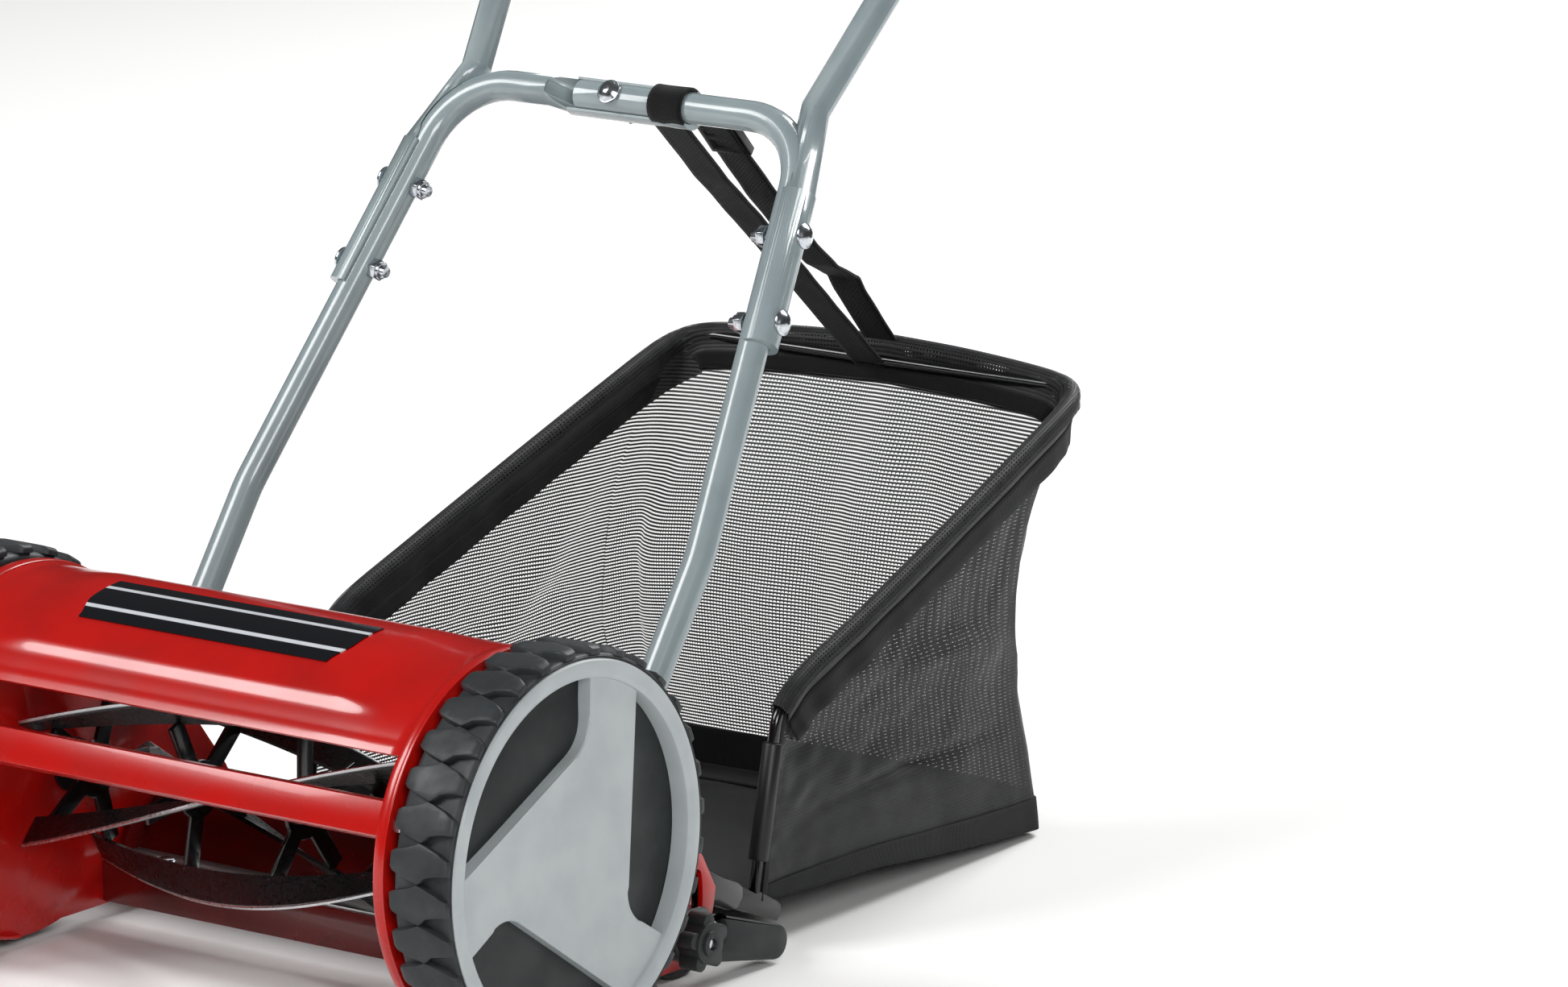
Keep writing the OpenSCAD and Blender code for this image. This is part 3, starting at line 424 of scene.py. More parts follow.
paints = {
    "red": makePaint("redStoveEnamel", "#b8100a", "#a60d08", 0.24, 1.6 * mm, 0.25),
    "redPlastic": makePaint("redGlossAbs", "#bd110a", "#ab0e08", 0.2, 4 * mm, 0.35),
    # The red enamel darkened to stand for the shade the knife carrier sits in below the reel: painted shade
    "shadedRed": makePaint("redEnamelInPaintedShade", "#74100c", "#5c0c09", 0.26),
    "tube": makePaint("silverGreyPowderCoat", "#95a2a5", "#8a979b", 0.2, 1.2 * mm, 0.4),
    "blackGloss": makePaint("blackStoveEnamel", "#08090a", "#050506", 0.18, 1.4 * mm, 0.3),
    "trim": makePlastic("silverPaintedAbs", "#b2b8ba", "#a8afb1", 0.38, 0.35 * mm, 0.012 * mm),
    "charcoal": makePlastic("charcoalPolypropylene", "#222627", "#1b1e1f", 0.5, 0.5 * mm, 0.03 * mm),
    "blackPlastic": makePlastic("blackNylon", "#0a0b0c", "#070708", 0.4, 0.6 * mm, 0.02 * mm),
    "glossPlastic": makePlastic("blackGlossAbs", "#0c0c0e", "#08080a", 0.2, 3 * mm, 0.01 * mm),
    "zinc": makeMetal("brightZincPlate", "#d9dde2", "#bcc2c9", 0.16, 1.0),
    "ground": makeMetal("groundKnifeSteel", "#c9cacb", "#8f9294", 0.28, 40.0),
    "blade": makeBladeSteel(),
    "tread": makeTyreCompound(),
    "net": makeNet("blackKnittedNet", 1.9 * mm, 1.7 * mm, 0.58, 0.24, "#050607", "#131416", 0.34),
    "denseNet": makeNet("doubledNetHem", 1.9 * mm, 1.7 * mm, 0.62, 0.42, "#070708", "#1c1d20"),
    "canvas": makeCloth("coatedBagCanvas", "#050607", "#141517", 0.7 * mm),
    "webbing": makeCloth("ribbedWebbing", "#040405", "#17181a", 1.3 * mm, True),
    "foam": makeFoam(),
    "inlay": makeInlay(),
}
print("materials ready")


# Wheels

wheel = {
    "tread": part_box("tyre_right")[1].z - wheelHub.z,
    "inner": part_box("tyre_right")[0].x, "outer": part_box("tyre_right")[1].x,
    "trim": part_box("wheel_trim_right")[1].x, "trimRadius": 97 * mm, "web": 190 * mm,
    "lugs": 32, "lugDepth": 4.2 * mm, "ringInner": 86.5 * mm, "spokeFace": 197.0 * mm,
}
# Outline of one tread block, as (across the tread from its inner edge, along it), in millimetres
block = [(0, 0), (4.1, 1.7), (10.9, 3.35), (15, 5), (17.2, 6.1), (21.8, 4.8), (28.7, 2.6), (34.2, -0.3),
    (34.8, -3.2),
         (34.8, -7.9), (28.5, -8.6), (22.3, -10.2), (19.3, -13.0), (17.6, -14.0), (14, -13.0), (7.8, -11.2),
         (2.7, -9.2),
         (0, -7.3)]


def addLug(bm, outline, height, base, ease):
    verts = [bm.verts.new((t * mm, s * mm, 0)) for t, s in outline]
    face = bm.faces.new(verts)
    face.normal_update()
    if face.normal.z < 0:
        face.normal_flip()
    raised = bmesh.ops.extrude_face_region(bm, geom=[face])["geom"]
    top = [v for v in raised if isinstance(v, bmesh.types.BMVert)]
    bmesh.ops.translate(bm, vec=(0, 0, height), verts=top)
    bmesh.ops.delete(bm, geom=[face], context="FACES_ONLY")
    rim = [e for e in bm.edges if all(v in top for v in e.verts)]
    bmesh.ops.bevel(bm, geom=rim, offset=ease, offset_type="OFFSET", affect="EDGES", segments=2,
                    profile=0.5, material=-1, clamp_overlap=True)
    cuts = [((t * mm, 0, 0), (1, 0, 0)) for t in (1.2, 3, 8, 13, 19, 25, 29.5, 31.5)] + [
        ((0, t * mm, 0), (0, 1, 0)) for t in (-10, -6, -2, 2)]
    for at, facing in cuts:
        bmesh.ops.bisect_plane(bm, geom=bm.verts[:] + bm.edges[:] + bm.faces[:], plane_co=at, plane_no=facing)
    for v in bm.verts:
        t, s, h = v.co
        shoulder = 1.6 * mm * max(0, 1 - t / (4 * mm)) ** 2 + 1.3 * mm * max(0, (t - 30.5 * mm) / (4 * mm)) ** 2
        r = base + h - (shoulder if h > 0.5 * height else 0)
        v.co = (wheel["inner"] + t + 0.3 * mm, -r * math.cos(s / r), r * math.sin(s / r))


def makeTyre(side, name, node, body):
    r, x0, x1 = wheel["tread"], wheel["inner"], wheel["outer"]
    base = r - wheel["lugDepth"]
    bead = 92 * mm
    bm = spun([
        (x0 + 1 * mm, bead), (x0 + 0.3 * mm, base - 3.4 * mm), (x0 + 1.4 * mm, base - 1.2 * mm),
        (x0 + 4 * mm, base),
        (x1 - 5.5 * mm, base), (x1 - 3 * mm, base + 0.4 * mm), (x1 - 1.6 * mm, base + 0.1 * mm),
        (x1 - 0.9 * mm, base - 0.3 * mm), (x1 - 0.7 * mm, base - 0.7 * mm), (x1 - 0.1 * mm, base - 0.9 * mm),
        (x1, base - 1.3 * mm), (x1 - 0.4 * mm, base - 1.7 * mm), (x1 - 3 * mm, base - 1.9 * mm),
        (x1 - 4 * mm, bead), (x0 + 1 * mm, bead),
    ], (0, 0, 0), 128)
    one = bmesh.new()
    addLug(one, block, wheel["lugDepth"], base - 0.3 * mm, 0.7 * mm)
    whole = one.verts[:] + one.edges[:] + one.faces[:]
    bmesh.ops.spin(one, geom=whole, cent=(0, 0, 0), axis=(1, 0, 0),
        angle=math.tau * (wheel["lugs"] - 1) / wheel["lugs"],
                   steps=wheel["lugs"] - 1, use_duplicate=True)
    bmesh.ops.recalc_face_normals(one, faces=one.faces)
    merge(bm, one)
    bmesh.ops.translate(bm, vec=(0, 0, wheelHub.z), verts=bm.verts)
    if side == left:
        mirrored(bm)
    return newPiece(name, bm, paints["tread"], body, [node], 40)


# The three-spoked star as a loop of (y, z): three waists rounded between straight edges
def spokeOutline():
    waist, edgeA, edgeB = Vector((11.5, 54)), Vector((12.5, 91)), Vector((49, 78))
    ease = 13.0
    loop = []
    for k in range(3):
        turn = Matrix.Rotation(math.radians(-120 * k), 2)
        before = Matrix.Rotation(math.radians(120), 2) @ edgeB
        a, b, c = waist + (before - waist).normalized() * ease, waist, waist + (edgeA
            - waist).normalized() * ease
        curve = [(a * (1 - t) ** 2 + 2 * b * t * (1 - t) + c * t * t) for t in (i / 8 for i in range(9))]
        loop += [turn @ p for p in curve + [edgeA, (edgeA + edgeB) * 0.515, edgeB]]
    return [p * mm for p in loop]


def makeTrim(side, name, node, body):
    x1, ringR, inner, web = wheel["trim"], wheel["trimRadius"], wheel["ringInner"], wheel["web"]
    bm = spun([
        (web - 0.4 * mm, inner), (x1 - 3.2 * mm, inner + 0.4 * mm), (x1 - 1.4 * mm, inner + 1.0 * mm),
        (x1 - 0.4 * mm, inner + 2.2 * mm), (x1, inner + 4.0 * mm), (x1, ringR - 3.2 * mm),
        (x1 - 0.4 * mm, ringR - 1.2 * mm),
        (x1 - 1.3 * mm, ringR - 0.3 * mm), (x1 - 2.6 * mm, ringR), (x1 - 4 * mm, ringR),
        (x1 - 4 * mm, inner + 3 * mm),
        (web - 0.4 * mm, inner + 2.4 * mm), (web - 0.4 * mm, inner),
    ], (0, 0, 0), 128)
    star = bmesh.new()
    face = star.faces.new([star.verts.new((wheel["spokeFace"], p[0], p[1])) for p in spokeOutline()])
    face.normal_update()
    if face.normal.x < 0:
        face.normal_flip()
    raised = bmesh.ops.extrude_face_region(star, geom=[face])["geom"]
    back = [v for v in star.verts if v not in raised]
    bmesh.ops.translate(star, vec=(web - wheel["spokeFace"] - 0.3 * mm, 0, 0), verts=back)
    bmesh.ops.recalc_face_normals(star, faces=star.faces)
    lip = [e for e in star.edges if all(abs(v.co.x - wheel["spokeFace"]) < 1e-6 for v in e.verts)
           and max(Vector(v.co.yz).length for v in e.verts) < 91.5 * mm]
    bmesh.ops.bevel(star, geom=lip, offset=3.6 * mm, offset_type="OFFSET", affect="EDGES", segments=5,
                    profile=0.5, material=-1, clamp_overlap=True)
    merge(bm, star)
    bmesh.ops.translate(bm, vec=(0, 0, wheelHub.z), verts=bm.verts)
    if side == left:
        mirrored(bm)
    return newPiece(name, bm, paints["trim"], body, [node], 30)


# Dark dished web behind the spokes, with its hub and a faint step
def makeWheelPanel(side, name, node, body):
    low, web, top = wheel["inner"] + 1 * mm, 187 * mm, wheel["web"]
    bm = spun([
        (low, 92 * mm), (low, 88 * mm), (web, 88 * mm), (web, 18 * mm), (low + 0.5 * mm, 18 * mm),
        (low + 0.5 * mm, 6.1 * mm),
        (top, 6.1 * mm), (top + 0.3 * mm, 18 * mm), (top + 0.3 * mm, 60 * mm), (top - 0.3 * mm, 76 * mm),
        (top - 0.7 * mm, 77 * mm),
        (top - 0.7 * mm, 88 * mm), (wheel["outer"] - 4 * mm, 88 * mm), (wheel["outer"] - 4 * mm, 92 * mm),
        (low, 92 * mm),
    ], (0, wheelHub.y, wheelHub.z), 96)
    if side == left:
        mirrored(bm)
    return newPiece(name, bm, paints["charcoal"], body, [node], 30)


for side, word in ((right, "Right"), (left, "Left")):
    low = word.lower()
    makeTyre(side, "tyreTread" + word, "tyre_" + low, "wheel_" + low)
    makeTrim(side, "spokeTrim" + word, "wheel_trim_" + low, "wheel_" + low)
    makeWheelPanel(side, "wheelPanel" + word, "wheel_rim_" + low, "wheel_" + low)
print("wheels ready")


# Deck and side plates

deck = {
    "radius": 95.5 * mm, "front": 142, "back": 45, "half": 153.8 * mm, "sheet": 2.2 * mm,
    "bulge": 2.2 * mm, "bulgeHalf": 96 * mm, "bulgeFade": 34 * mm, "panelHalf": 84 * mm, "panel": (93, 116),
}


# How far the moulded deck stands out from its plain round
def deckRise(x, angle):
    reach = 1 - smooth((abs(x) - deck["bulgeHalf"]) / deck["bulgeFade"])
    front = smooth((angle - 70) / 16) * (1 - smooth((angle - 127) / 5))
    lip = 0.9 * mm * smooth((angle - 137.5) / 1.5)
    end = 1.2 * mm * smooth((abs(x) - 147 * mm) / (3 * mm))
    return deck["bulge"] * (reach * front) - 1.0 * mm * (1
        - reach) * smooth((angle - 100) / 30) * 0.6 + lip * 0.5 + end


def makeDeck():
    bm = bmesh.new()
    across, around = 124, 96
    bmesh.ops.create_grid(bm, x_segments=across, y_segments=around, size=0.5)
    for v in bm.verts:
        x = v.co.x * 2 * deck["half"]
        angle = deck["back"] + (v.co.y + 0.5) * (deck["front"] - deck["back"])
        a = math.radians(angle)
        r = deck["radius"] - 0.4 * mm + deckRise(x, angle)
        v.co = (x, r * math.cos(a), wheelHub.z + r * math.sin(a))
    bmesh.ops.recalc_face_normals(bm, faces=bm.faces)
    if sum(f.normal.z for f in bm.faces) < 0:
        bmesh.ops.reverse_faces(bm, faces=bm.faces)
    bmesh.ops.solidify(bm, geom=bm.faces[:], thickness=deck["sheet"])
    return newPiece("deckShell", bm, paints["redPlastic"], "chassis", ["deck_cover"], 50)


def clothMap(bm):
    return bm.loops.layers.uv.new("cloth")


# Thin inlay on the crown of the deck
def makePanel():
    bm = bmesh.new()
    bmesh.ops.create_grid(bm, x_segments=40, y_segments=20, size=0.5)
    layer = clothMap(bm)
    low, high = deck["panel"]
    flat = {v: (v.co.x, v.co.y) for v in bm.verts}
    for v in bm.verts:
        x, t = v.co.x * 2 * deck["panelHalf"], v.co.y + 0.5
        shrink = 1 - 0.06 * smooth((t - 0.55) / 0.45)
        angle = low + t * (high - low)
        a = math.radians(angle)
        r = deck["radius"] + deck["bulge"] + 0.25 * mm
        v.co = (x * shrink, r * math.cos(a), wheelHub.z + r * math.sin(a))
    for f in bm.faces:
        for loop in f.loops:
            loop[layer].uv = (flat[loop.vert][0] * 0.176, flat[loop.vert][1] * 0.040)
    bmesh.ops.recalc_face_normals(bm, faces=bm.faces)
    if sum(f.normal.z for f in bm.faces) < 0:
        bmesh.ops.reverse_faces(bm, faces=bm.faces)
    bmesh.ops.solidify(bm, geom=bm.faces[:], thickness=0.9 * mm)
    return newPiece("deckInlay", bm, paints["inlay"], "chassis", ["deck_panel"], 40)


# The rolled flange round the disc of a side plate
def makePlateRim(side, name):
    bm = bmesh.new()
    x1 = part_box("side_plate_right")[1].x
    r = 97 * mm
    outline = [(x1 - 6.5 * mm, r - 1.6 * mm), (x1 - 6.5 * mm, r - 0.4 * mm), (x1 - 5.6 * mm, r + 0.2 * mm),
               (x1 - 1.6 * mm, r + 0.2 * mm),
               (x1 - 0.3 * mm, r - 0.5 * mm), (x1 + 0.1 * mm, r - 2.0 * mm), (x1 - 0.6 * mm, r - 3.2 * mm),
               (x1 - 2.4 * mm, r - 2.4 * mm)]
    start, turn = math.radians(-62), math.radians(-236)
    ring = [bm.verts.new((x, q * math.sin(-start), q * math.cos(start))) for x, q in outline]
    face = bm.faces.new(ring)
    geometry = [face, *face.verts, *face.edges]
    bmesh.ops.spin(bm, geom=geometry, cent=(0, 0, 0), axis=(1, 0, 0), angle=-turn, steps=72)
    cleaned(bm)
    bmesh.ops.translate(bm, vec=(0, 0, wheelHub.z), verts=bm.verts)
    if side == left:
        mirrored(bm)
    return newPiece(name, bm, paints["red"], "chassis", (), 35)


makeDeck()
makePanel()
for side, word in ((right, "Right"), (left, "Left")):
    softCopy("side_plate_" + word.lower(), "sidePlate" + word, paints["red"], 0.7 * mm)
    makePlateRim(side, "plateRim" + word)
print("deck ready")


# Plain metal and plastic pieces, with their edges eased

eased = [  # node, piece, finish, slot, edge in mm
    ("tie_bar", "tieBar", "red", "red_enamel", 0.4),
    # the knife carrier takes the darkened red enamel as painted shade
    ("knife_carrier", "knifeCarrier", "shadedRed", "red_enamel", 0.4),
    ("bed_knife", "bedKnife", "ground", "ground_steel", 0.15),
    ("frame_bolts", "frameBolts", "zinc", "zinc_steel", 0.4),
    ("foot_bolts", "footBolts", "zinc", "zinc_steel", 0.4),
    ("handle_bolts", "handleBolts", "zinc", "zinc_steel", 0.2),
    ("handle_nuts", "handleNuts", "zinc", "zinc_steel", 0.4),
    ("wing_nuts", "wingNuts", "blackPlastic", "black_nylon", 0.6),
    ("knife_screws", "knifeScrews", "zinc", "zinc_steel", 0.3),
    ("roller_nuts", "rollerNuts", "zinc", "zinc_steel", 0.4),
    ("clamp_bolts", "clampBolts", "zinc", "zinc_steel", 0.4),
    ("bag_hooks", "bagHooks", "blackGloss", "black_enamel", 0.4),
    ("roller_drum", "rollerDrum", "blackPlastic", "black_nylon", 0.6),
    ("roller_caps", "rollerCaps", "blackPlastic", "black_nylon", 0.5),
    ("roller_plates", "rollerPlates", "blackGloss", "black_enamel", 0.4),
    ("rear_arm_right", "rearArmRight", "charcoal", "dark_plastic", 1.2),
    ("rear_arm_left", "rearArmLeft", "charcoal", "dark_plastic", 1.2),
    ("roller_axle", "rollerAxle", "zinc", "zinc_steel", 0.5),
    ("star_knob_right", "starKnobRight", "charcoal", "dark_plastic", 1.1),
    ("star_knob_left", "starKnobLeft", "charcoal", "dark_plastic", 1.1),
    ("bag_sleeves", "bagSleeves", "blackPlastic", "black_nylon", 0.6),
    ("bag_feet", "bagFeet", "glossPlastic", "black_gloss_plastic", 0.6),
    ("reel_spiders", "reelSpiders", "blackGloss", "black_enamel", 0.3),
    ("reel_shaft", "reelShaft", "blackGloss", "black_enamel", 0.5),
    ("foam_grip", "foamGrip", "foam", "foam", 2.5),
]
for node, name, finish, slotName, width in eased:
    softCopy(node, name, paints[finish], width * mm)
for word in ("right", "left"):
    for part in ("lower_tube_", "upper_tube_"):
        name = part.split("_")[0] + "Tube" + word.capitalize()
        softCopy(part + word, name, paints["tube"], 0, 32)
softCopy("handle_bar", "handleBar", paints["tube"], 0, 32)
for k in range(1, 6):
    softCopy(f"reel_blade_{k}", f"reelBlade{k}", paints["blade"], 0, 30)
kept = {
    "wheel_axle_right": "zinc", "wheel_axle_left": "zinc", "axle_clips": "zinc", "height_pivots": "zinc",
    "reel_bushes": "blackPlastic", "ring_gear_right": "charcoal", "ring_gear_left": "charcoal",
    "pinion_right": "ground", "pinion_left": "ground",
}
for node, finish in kept.items():
    nodes[node].data.materials.clear()
    nodes[node].data.materials.append(paints[finish])
print("metalwork ready")


# Grass bag

bag = {
    "rim": [(147.8, 231, 121), (147.4, 250, 134), (146.2, 300, 152.5), (144.3, 350, 171),
    (141.8, 405, 191.4), (138.6, 462, 212.6),
            (135.8, 500, 226.6), (130.5, 517, 232.8), (118, 526, 236.5), (90, 531, 238.8), (45, 535, 241),
            (0, 537, 242)],
    "foot": [(148.6, 213, 25.6), (147.8, 228, 24.2), (147, 262, 22.6), (145.6, 316, 20.0), (142.4, 370, 14),
    (139.4, 424, 8.6),
             (137.4, 462, 5.4), (135.4, 480, 4.2), (120, 484.6, 3.9), (90, 485.6, 4.2), (45, 485.2, 5),
             (0, 485, 5.4)],
    "waist": -37 * mm, "around": 250, "down": 64, "hem": 23 * mm,
}


# Catmull-Rom curve through points, t from 0 to 1
def lineThrough(points, t):
    count = len(points) - 1
    at = min(max(t, 0.0), 1.0) * count
    i = min(int(at), count - 1)
    f = at - i
    p = [Vector(points[min(max(j, 0), count)]) for j in (i - 1, i, i + 1, i + 2)]
    return 0.5 * (2 * p[1] + (p[2] - p[0]) * f + (2 * p[0] - 5 * p[1] + 4 * p[2] - p[3]) * f * f
                  + (3 * p[1] - p[0] - 3 * p[2] + p[3]) * f ** 3)


# A point of a route mirrored about the middle plane: u runs from the right front to the left front
def across(points, u):
    if u <= 0.5:
        return lineThrough(points, 2 * u) * mm
    p = lineThrough(points, 2 - 2 * u) * mm
    p.x = -p.x
    return p


# 1 along a crease from start to end, fading to 0 at width
def ridge(u, v, start, end, width):
    a, b, p = Vector(start), Vector(end), Vector((u, v))
    t = max(0.0, min(1.0, (p - a).dot(b - a) / (b - a).length_squared))
    ends = smooth(min(t, 1 - t) * 5)
    return math.exp(-((p - (a + (b - a) * t)).length / width) ** 2) * (0.25 + 0.75 * ends)


# Start and end as (round, down), width, and depth in mm; round is 0 at the right front and 0.5 at the rear's middle
creases = [
    ((0.03, 0.06), (0.26, 0.62), 0.030, 5), ((0.05, 0.3), (0.20, 0.80), 0.022, -5),
    ((0.16, 0.35), (0.30, 0.60), 0.020, 4),
    ((0.10, 0.70), (0.28, 0.72), 0.018, -3), ((0.30, 0.12), (0.335, 0.62), 0.016, -4),
    ((0.345, 0.25), (0.36, 0.55), 0.010, 5), ((0.47, 0.10), (0.41, 0.66), 0.018, 7),
    ((0.43, 0.32), (0.385, 0.74), 0.012, -6), ((0.56, 0.06), (0.53, 0.42), 0.013, 4),
    ((0.60, 0.20), (0.64, 0.72), 0.018, -6), ((0.665, 0.30), (0.66, 0.92), 0.020, 9),
    ((0.69, 0.15), (0.70, 0.85), 0.016, -7),
    ((0.74, 0.20), (0.86, 0.70), 0.025, -5), ((0.80, 0.45), (0.70, 0.80), 0.020, 5),
    ((0.85, 0.5), (0.95, 0.75), 0.020, 4),
]


# A point of the net: u round the bag, v from the rim (0) down to the floor's edge (1)
def bagPoint(u, v):
    top, foot = across(bag["rim"], u), across(bag["foot"], u)
    p = mixPoint(top, foot, v)
    mid = abs(u - 0.5) * 2  # 0 at the middle of the rear, 1 at the front
    rear = 1 - smooth((mid - 0.34) / 0.45)
    dip = math.sin(math.pi * min(1, v ** 0.85)) ** 1.2
    p.y += bag["waist"] * dip * rear * (0.82 + 0.18 * mid / 0.34 if mid < 0.34 else 1.0)
    outward = Vector((math.copysign(1, 0.5 - u), 0, 0)) * (1 - rear) + Vector((0, 1, 0)) * rear
    hold = math.sin(math.pi * v) ** 0.6 * smooth((1 - mid) / 0.06)
    depth = sum(d * ridge(u, v, a, b, w) for a, b, w, d in creases) * mm
    ripple = 2.2 * mm * noise.noise(Vector((u * 26, v * 5, 3))) + 1.1 * mm * noise.noise(Vector((u * 60,
        v * 13, 9)))
    p += outward.normalized() * (depth + ripple) * hold
    p.x -= math.copysign(1, 0.5 - u) * 2.5 * mm * (1 - rear) * math.sin(math.pi * v) * smooth((1 - mid) / 0.15)
    return p


# A cloth sheet: place(u, v) gives its shape and size its cut in metres, which the UV map keeps
def makeSheet(name, place, size, counts, finish, body, replaced=(), thickness=0.0, sharp=80,
    level=False):
    bm = bmesh.new()
    bmesh.ops.create_grid(bm, x_segments=counts[0], y_segments=counts[1], size=0.5)
    layer = clothMap(bm)
    flat = {v: (v.co.x + 0.5, v.co.y + 0.5) for v in bm.verts}
    for f in bm.faces:
        for loop in f.loops:
            u, v = flat[loop.vert]
            loop[layer].uv = (u * size[0], place(u, v).z if level else v * size[1])
    for v, (s, t) in flat.items():
        v.co = place(s, t)
    piece = newPiece(name, bm, finish, body, replaced, sharp)
    if thickness:
        wall = piece.modifiers.new("cloth", "SOLIDIFY")
        wall.thickness, wall.offset = thickness, 0
    return piece


netCut = (0.86, 0.225)
bagNet = makeSheet("bagNet", bagPoint, netCut, (bag["around"], bag["down"]), paints["net"], "bag",
    ["bag_mesh"],
                   level=True)


# The rim's place, and the outward and downward directions of the wall there
def wallFrame(u):
    at, along = across(bag["rim"], u), (across(bag["rim"], min(1, u + 0.004)) - across(bag["rim"],
        max(0, u - 0.004))).normalized()
    drop = (bagPoint(u, 0.1) - at).normalized()
    drop = (drop - along * drop.dot(along)).normalized()
    out = along.cross(drop)
    if out.dot(Vector((at.x, at.y - 0.36, 0))) < 0:
        out = -out
    return at, out, drop


# The folded hem: t runs from its outer edge over the rim wire to its inner edge
def hemPoint(s, t):
    at, out, drop = wallFrame(s)
    k = (t - 0.5) * 2
    wave = 0.9 * mm * noise.noise(Vector((s * 70, k * 1.5, 1)))
    if abs(k) < 0.3:
        a = k / 0.3 * math.pi / 2
        return at - out * math.sin(a) * 4.4 * mm - drop * math.cos(a) * 4.4 * mm
    far = (abs(k) - 0.3) / 0.7
    gap = 4.4 * mm * (1 - smooth(far * 2.2)) + 1.5 * mm
    side = -1 if k > 0 else 1
    follow = bagPoint(s, 0.1 * far * bag["hem"] / (22 * mm)) - (at + drop * far * bag["hem"] * 0.98)
    follow = out * follow.dot(out)
    return at + drop * far * bag["hem"] + out * side * (gap + wave * far) + follow


hem = makeSheet("bagHem", hemPoint, (0.86, 0.058), (250, 28), paints["denseNet"], "bag", (), 0.7 * mm)


# Tape sewn flat along the hem, inside and outside
def bindPoint(low, high, lift):
    def place(s, t):
        return hemPoint(s, low + (high - low) * t) + wallFrame(s)[1] * lift
    return place


tapes = [makeSheet("hemTapeInner", bindPoint(0.86, 1.0, -0.7 * mm), (0.86, 0.008), (250, 4),
    paints["canvas"], "bag", (), 0.8 * mm),
         makeSheet("hemTapeOuter", bindPoint(0.0, 0.22, 0.7 * mm), (0.86, 0.012), (250, 4), paints["canvas"],
         "bag", (), 0.8 * mm)]


# Canvas floor, turned up at the walls; s runs across and t from front to back
def floorPoint(s, t):
    half = 0.5 - s
    edgeAt = 0.5 * t * 0.62 + 0.002
    edge = across(bag["foot"], min(edgeAt, 0.5))
    y, z = edge.y, edge.z
    reach = edge.x - 1.2 * mm if t < 0.98 else edge.x
    k = min(1, abs(half) * 2 / 0.86)
    x = math.copysign(reach * k, half)
    sag = 2.0 * mm * (1 - k ** 4) * math.sin(math.pi * t)
    up = max(0, (abs(half) * 2 - 0.86) / 0.14)
    ripple = 0.8 * mm * noise.noise(Vector((s * 12, t * 9, 5)))
    return Vector((x, y, z + 0.6 * mm - sag * 0.4 + ripple * (1 - up) + up * 9 * mm))


# The back strip of the floor, turned up the rear wall
def rearFloorPoint(s, t):
    u = 0.31 + 0.38 * s
    base = across(bag["foot"], u)
    if t < 0.5:
        inner = Vector((base.x * 0.96, across(bag["foot"], 0.31).y - 30 * mm, base.z + 2 * mm))
        return mixPoint(inner, base, t * 2) + Vector((0, 0, 0.6 * mm))
    return bagPoint(u, 1 - (t - 0.5) * 0.18) + Vector((0, -1.0 * mm, 0))


# Solid band sewn round the foot of the walls, outside the net
def bandPoint(s, t):
    u = 0.004 + 0.992 * s
    p = bagPoint(u, 1.0 - 0.075 * t)
    mid = abs(u - 0.5) * 2
    rear = 1 - smooth((mid - 0.34) / 0.3)
    out = Vector((math.copysign(1, 0.5 - u) * (1 - rear), rear, 0)).normalized()
    return p + out * (0.9 * mm) + Vector((0, 0, -0.4 * mm * (1 - t)))


floorCloth = makeSheet("bagFloor", floorPoint, (0.33, 0.30), (60, 50), paints["canvas"], "bag",
    ["bag_floor"], 0.8 * mm)
rearFloor = makeSheet("bagFloorRear", rearFloorPoint, (0.33, 0.06), (80, 14), paints["canvas"],
    "bag", (), 0.8 * mm)
tapes.append(makeSheet("bagBand", bandPoint, (0.86, 0.017), (250, 5), paints["canvas"], "bag", (),
    0.9 * mm))


# Tape up the front edge of a side wall, where the bag is sewn to its rod
def frontTapePoint(side):
    def place(s, t):
        u = 0.0 + 0.02 * s if side == right else 1.0 - 0.02 * s
        p = bagPoint(u, t)
        return p + Vector((side * 1.1 * mm, 0, 0))
    return place


for side, word in ((right, "Right"), (left, "Left")):
    tapes.append(makeSheet("frontTape" + word, frontTapePoint(side), (0.01, 0.1), (5, 40), paints["canvas"],
        "bag",
                           (), 1.2 * mm))
softCopy("bag_frame", "bagRod", paints["blackGloss"], 0, 50)
print("bag ready")


# Strap

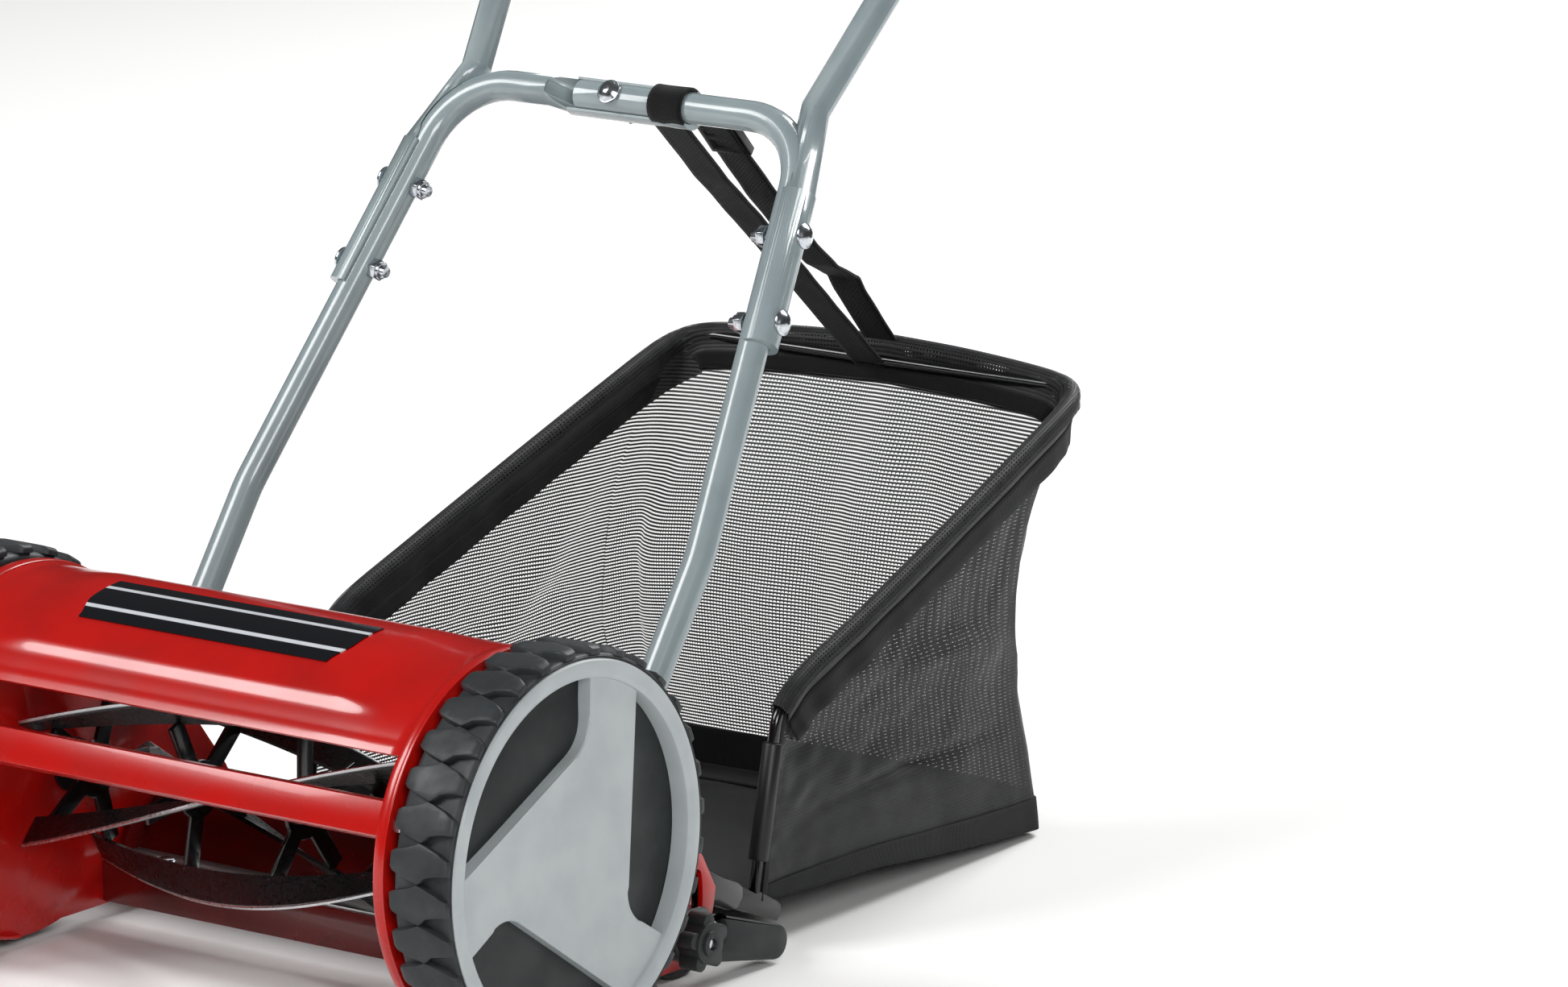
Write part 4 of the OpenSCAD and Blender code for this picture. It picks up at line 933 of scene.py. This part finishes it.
strap = {  # route of the middle of the band, in mm: under the cross tube, round it and back over the top
    "width": 21 * mm, "thick": 1.7 * mm, "bar": (305, 408), "barRadius": 9.4, "barX": 27,
    "lower": [(-7.5, 530, 221), (-7.5, 528, 229), (-7, 522.6, 233.7), (2, 459.2, 281.7), (11, 402, 324),
              (19.8, 346.1, 363.8)],
    "upper": [(21, 352.5, 385.2), (14, 398.9, 346), (7, 441.9, 313), (3, 466.7, 297), (-2, 493, 286),
    (-3.5, 501, 277),
              (-6, 524.3, 254), (-7, 539, 239), (-7.5, 543, 229)],
}


def ribbon(name, route, width, thick, finish, body, replaced=(), twist=None):
    count = len(route) - 1
    length = sum((Vector(b) - Vector(a)).length for a, b in zip(route, route[1:]))

    def place(s, t):
        p = lineThrough(route, t)
        lean = twist(t) if twist else 0.0
        q = lineThrough(route, min(1, t + 0.01)) - lineThrough(route, max(0, t - 0.01))
        up = q.cross(Vector((1, 0, 0))).normalized()
        wave = 0.5 * mm * noise.noise(Vector((t * 30, s * 2, len(name))))
        return p + (s - 0.5) * width * (Vector((1, 0, 0)) * math.cos(lean) + up * math.sin(lean)) + up * wave
    return makeSheet(name, place, (width, length), (8, max(20, count * 8)), finish, body, replaced,
        thick, 60)


# The legs in short steps, with the half turn over the tube between them
def strapRoute():
    cy, cz = strap["bar"]
    turn = []
    for k in range(13):
        a = math.radians(233 - 180 * k / 12)
        turn.append((strap["barX"], cy + strap["barRadius"] * math.cos(a),
            cz + strap["barRadius"] * math.sin(a)))
    corners = [Vector(p) for p in strap["lower"] + turn + strap["upper"]]
    route = [corners[0]]
    for a, b in zip(corners, corners[1:]):
        steps = max(1, round((b - a).length / 6))
        route += [mixPoint(a, b, k / steps) for k in range(1, steps + 1)]
    return [p * mm for p in route]


band = ribbon("strapWebbing", strapRoute(), strap["width"], strap["thick"], paints["webbing"],
    None, ["strap"])
softCopy("strap_buckle", "strapBuckle", paints["blackPlastic"], 0.8 * mm)
print("strap ready")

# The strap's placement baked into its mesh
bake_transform(band)
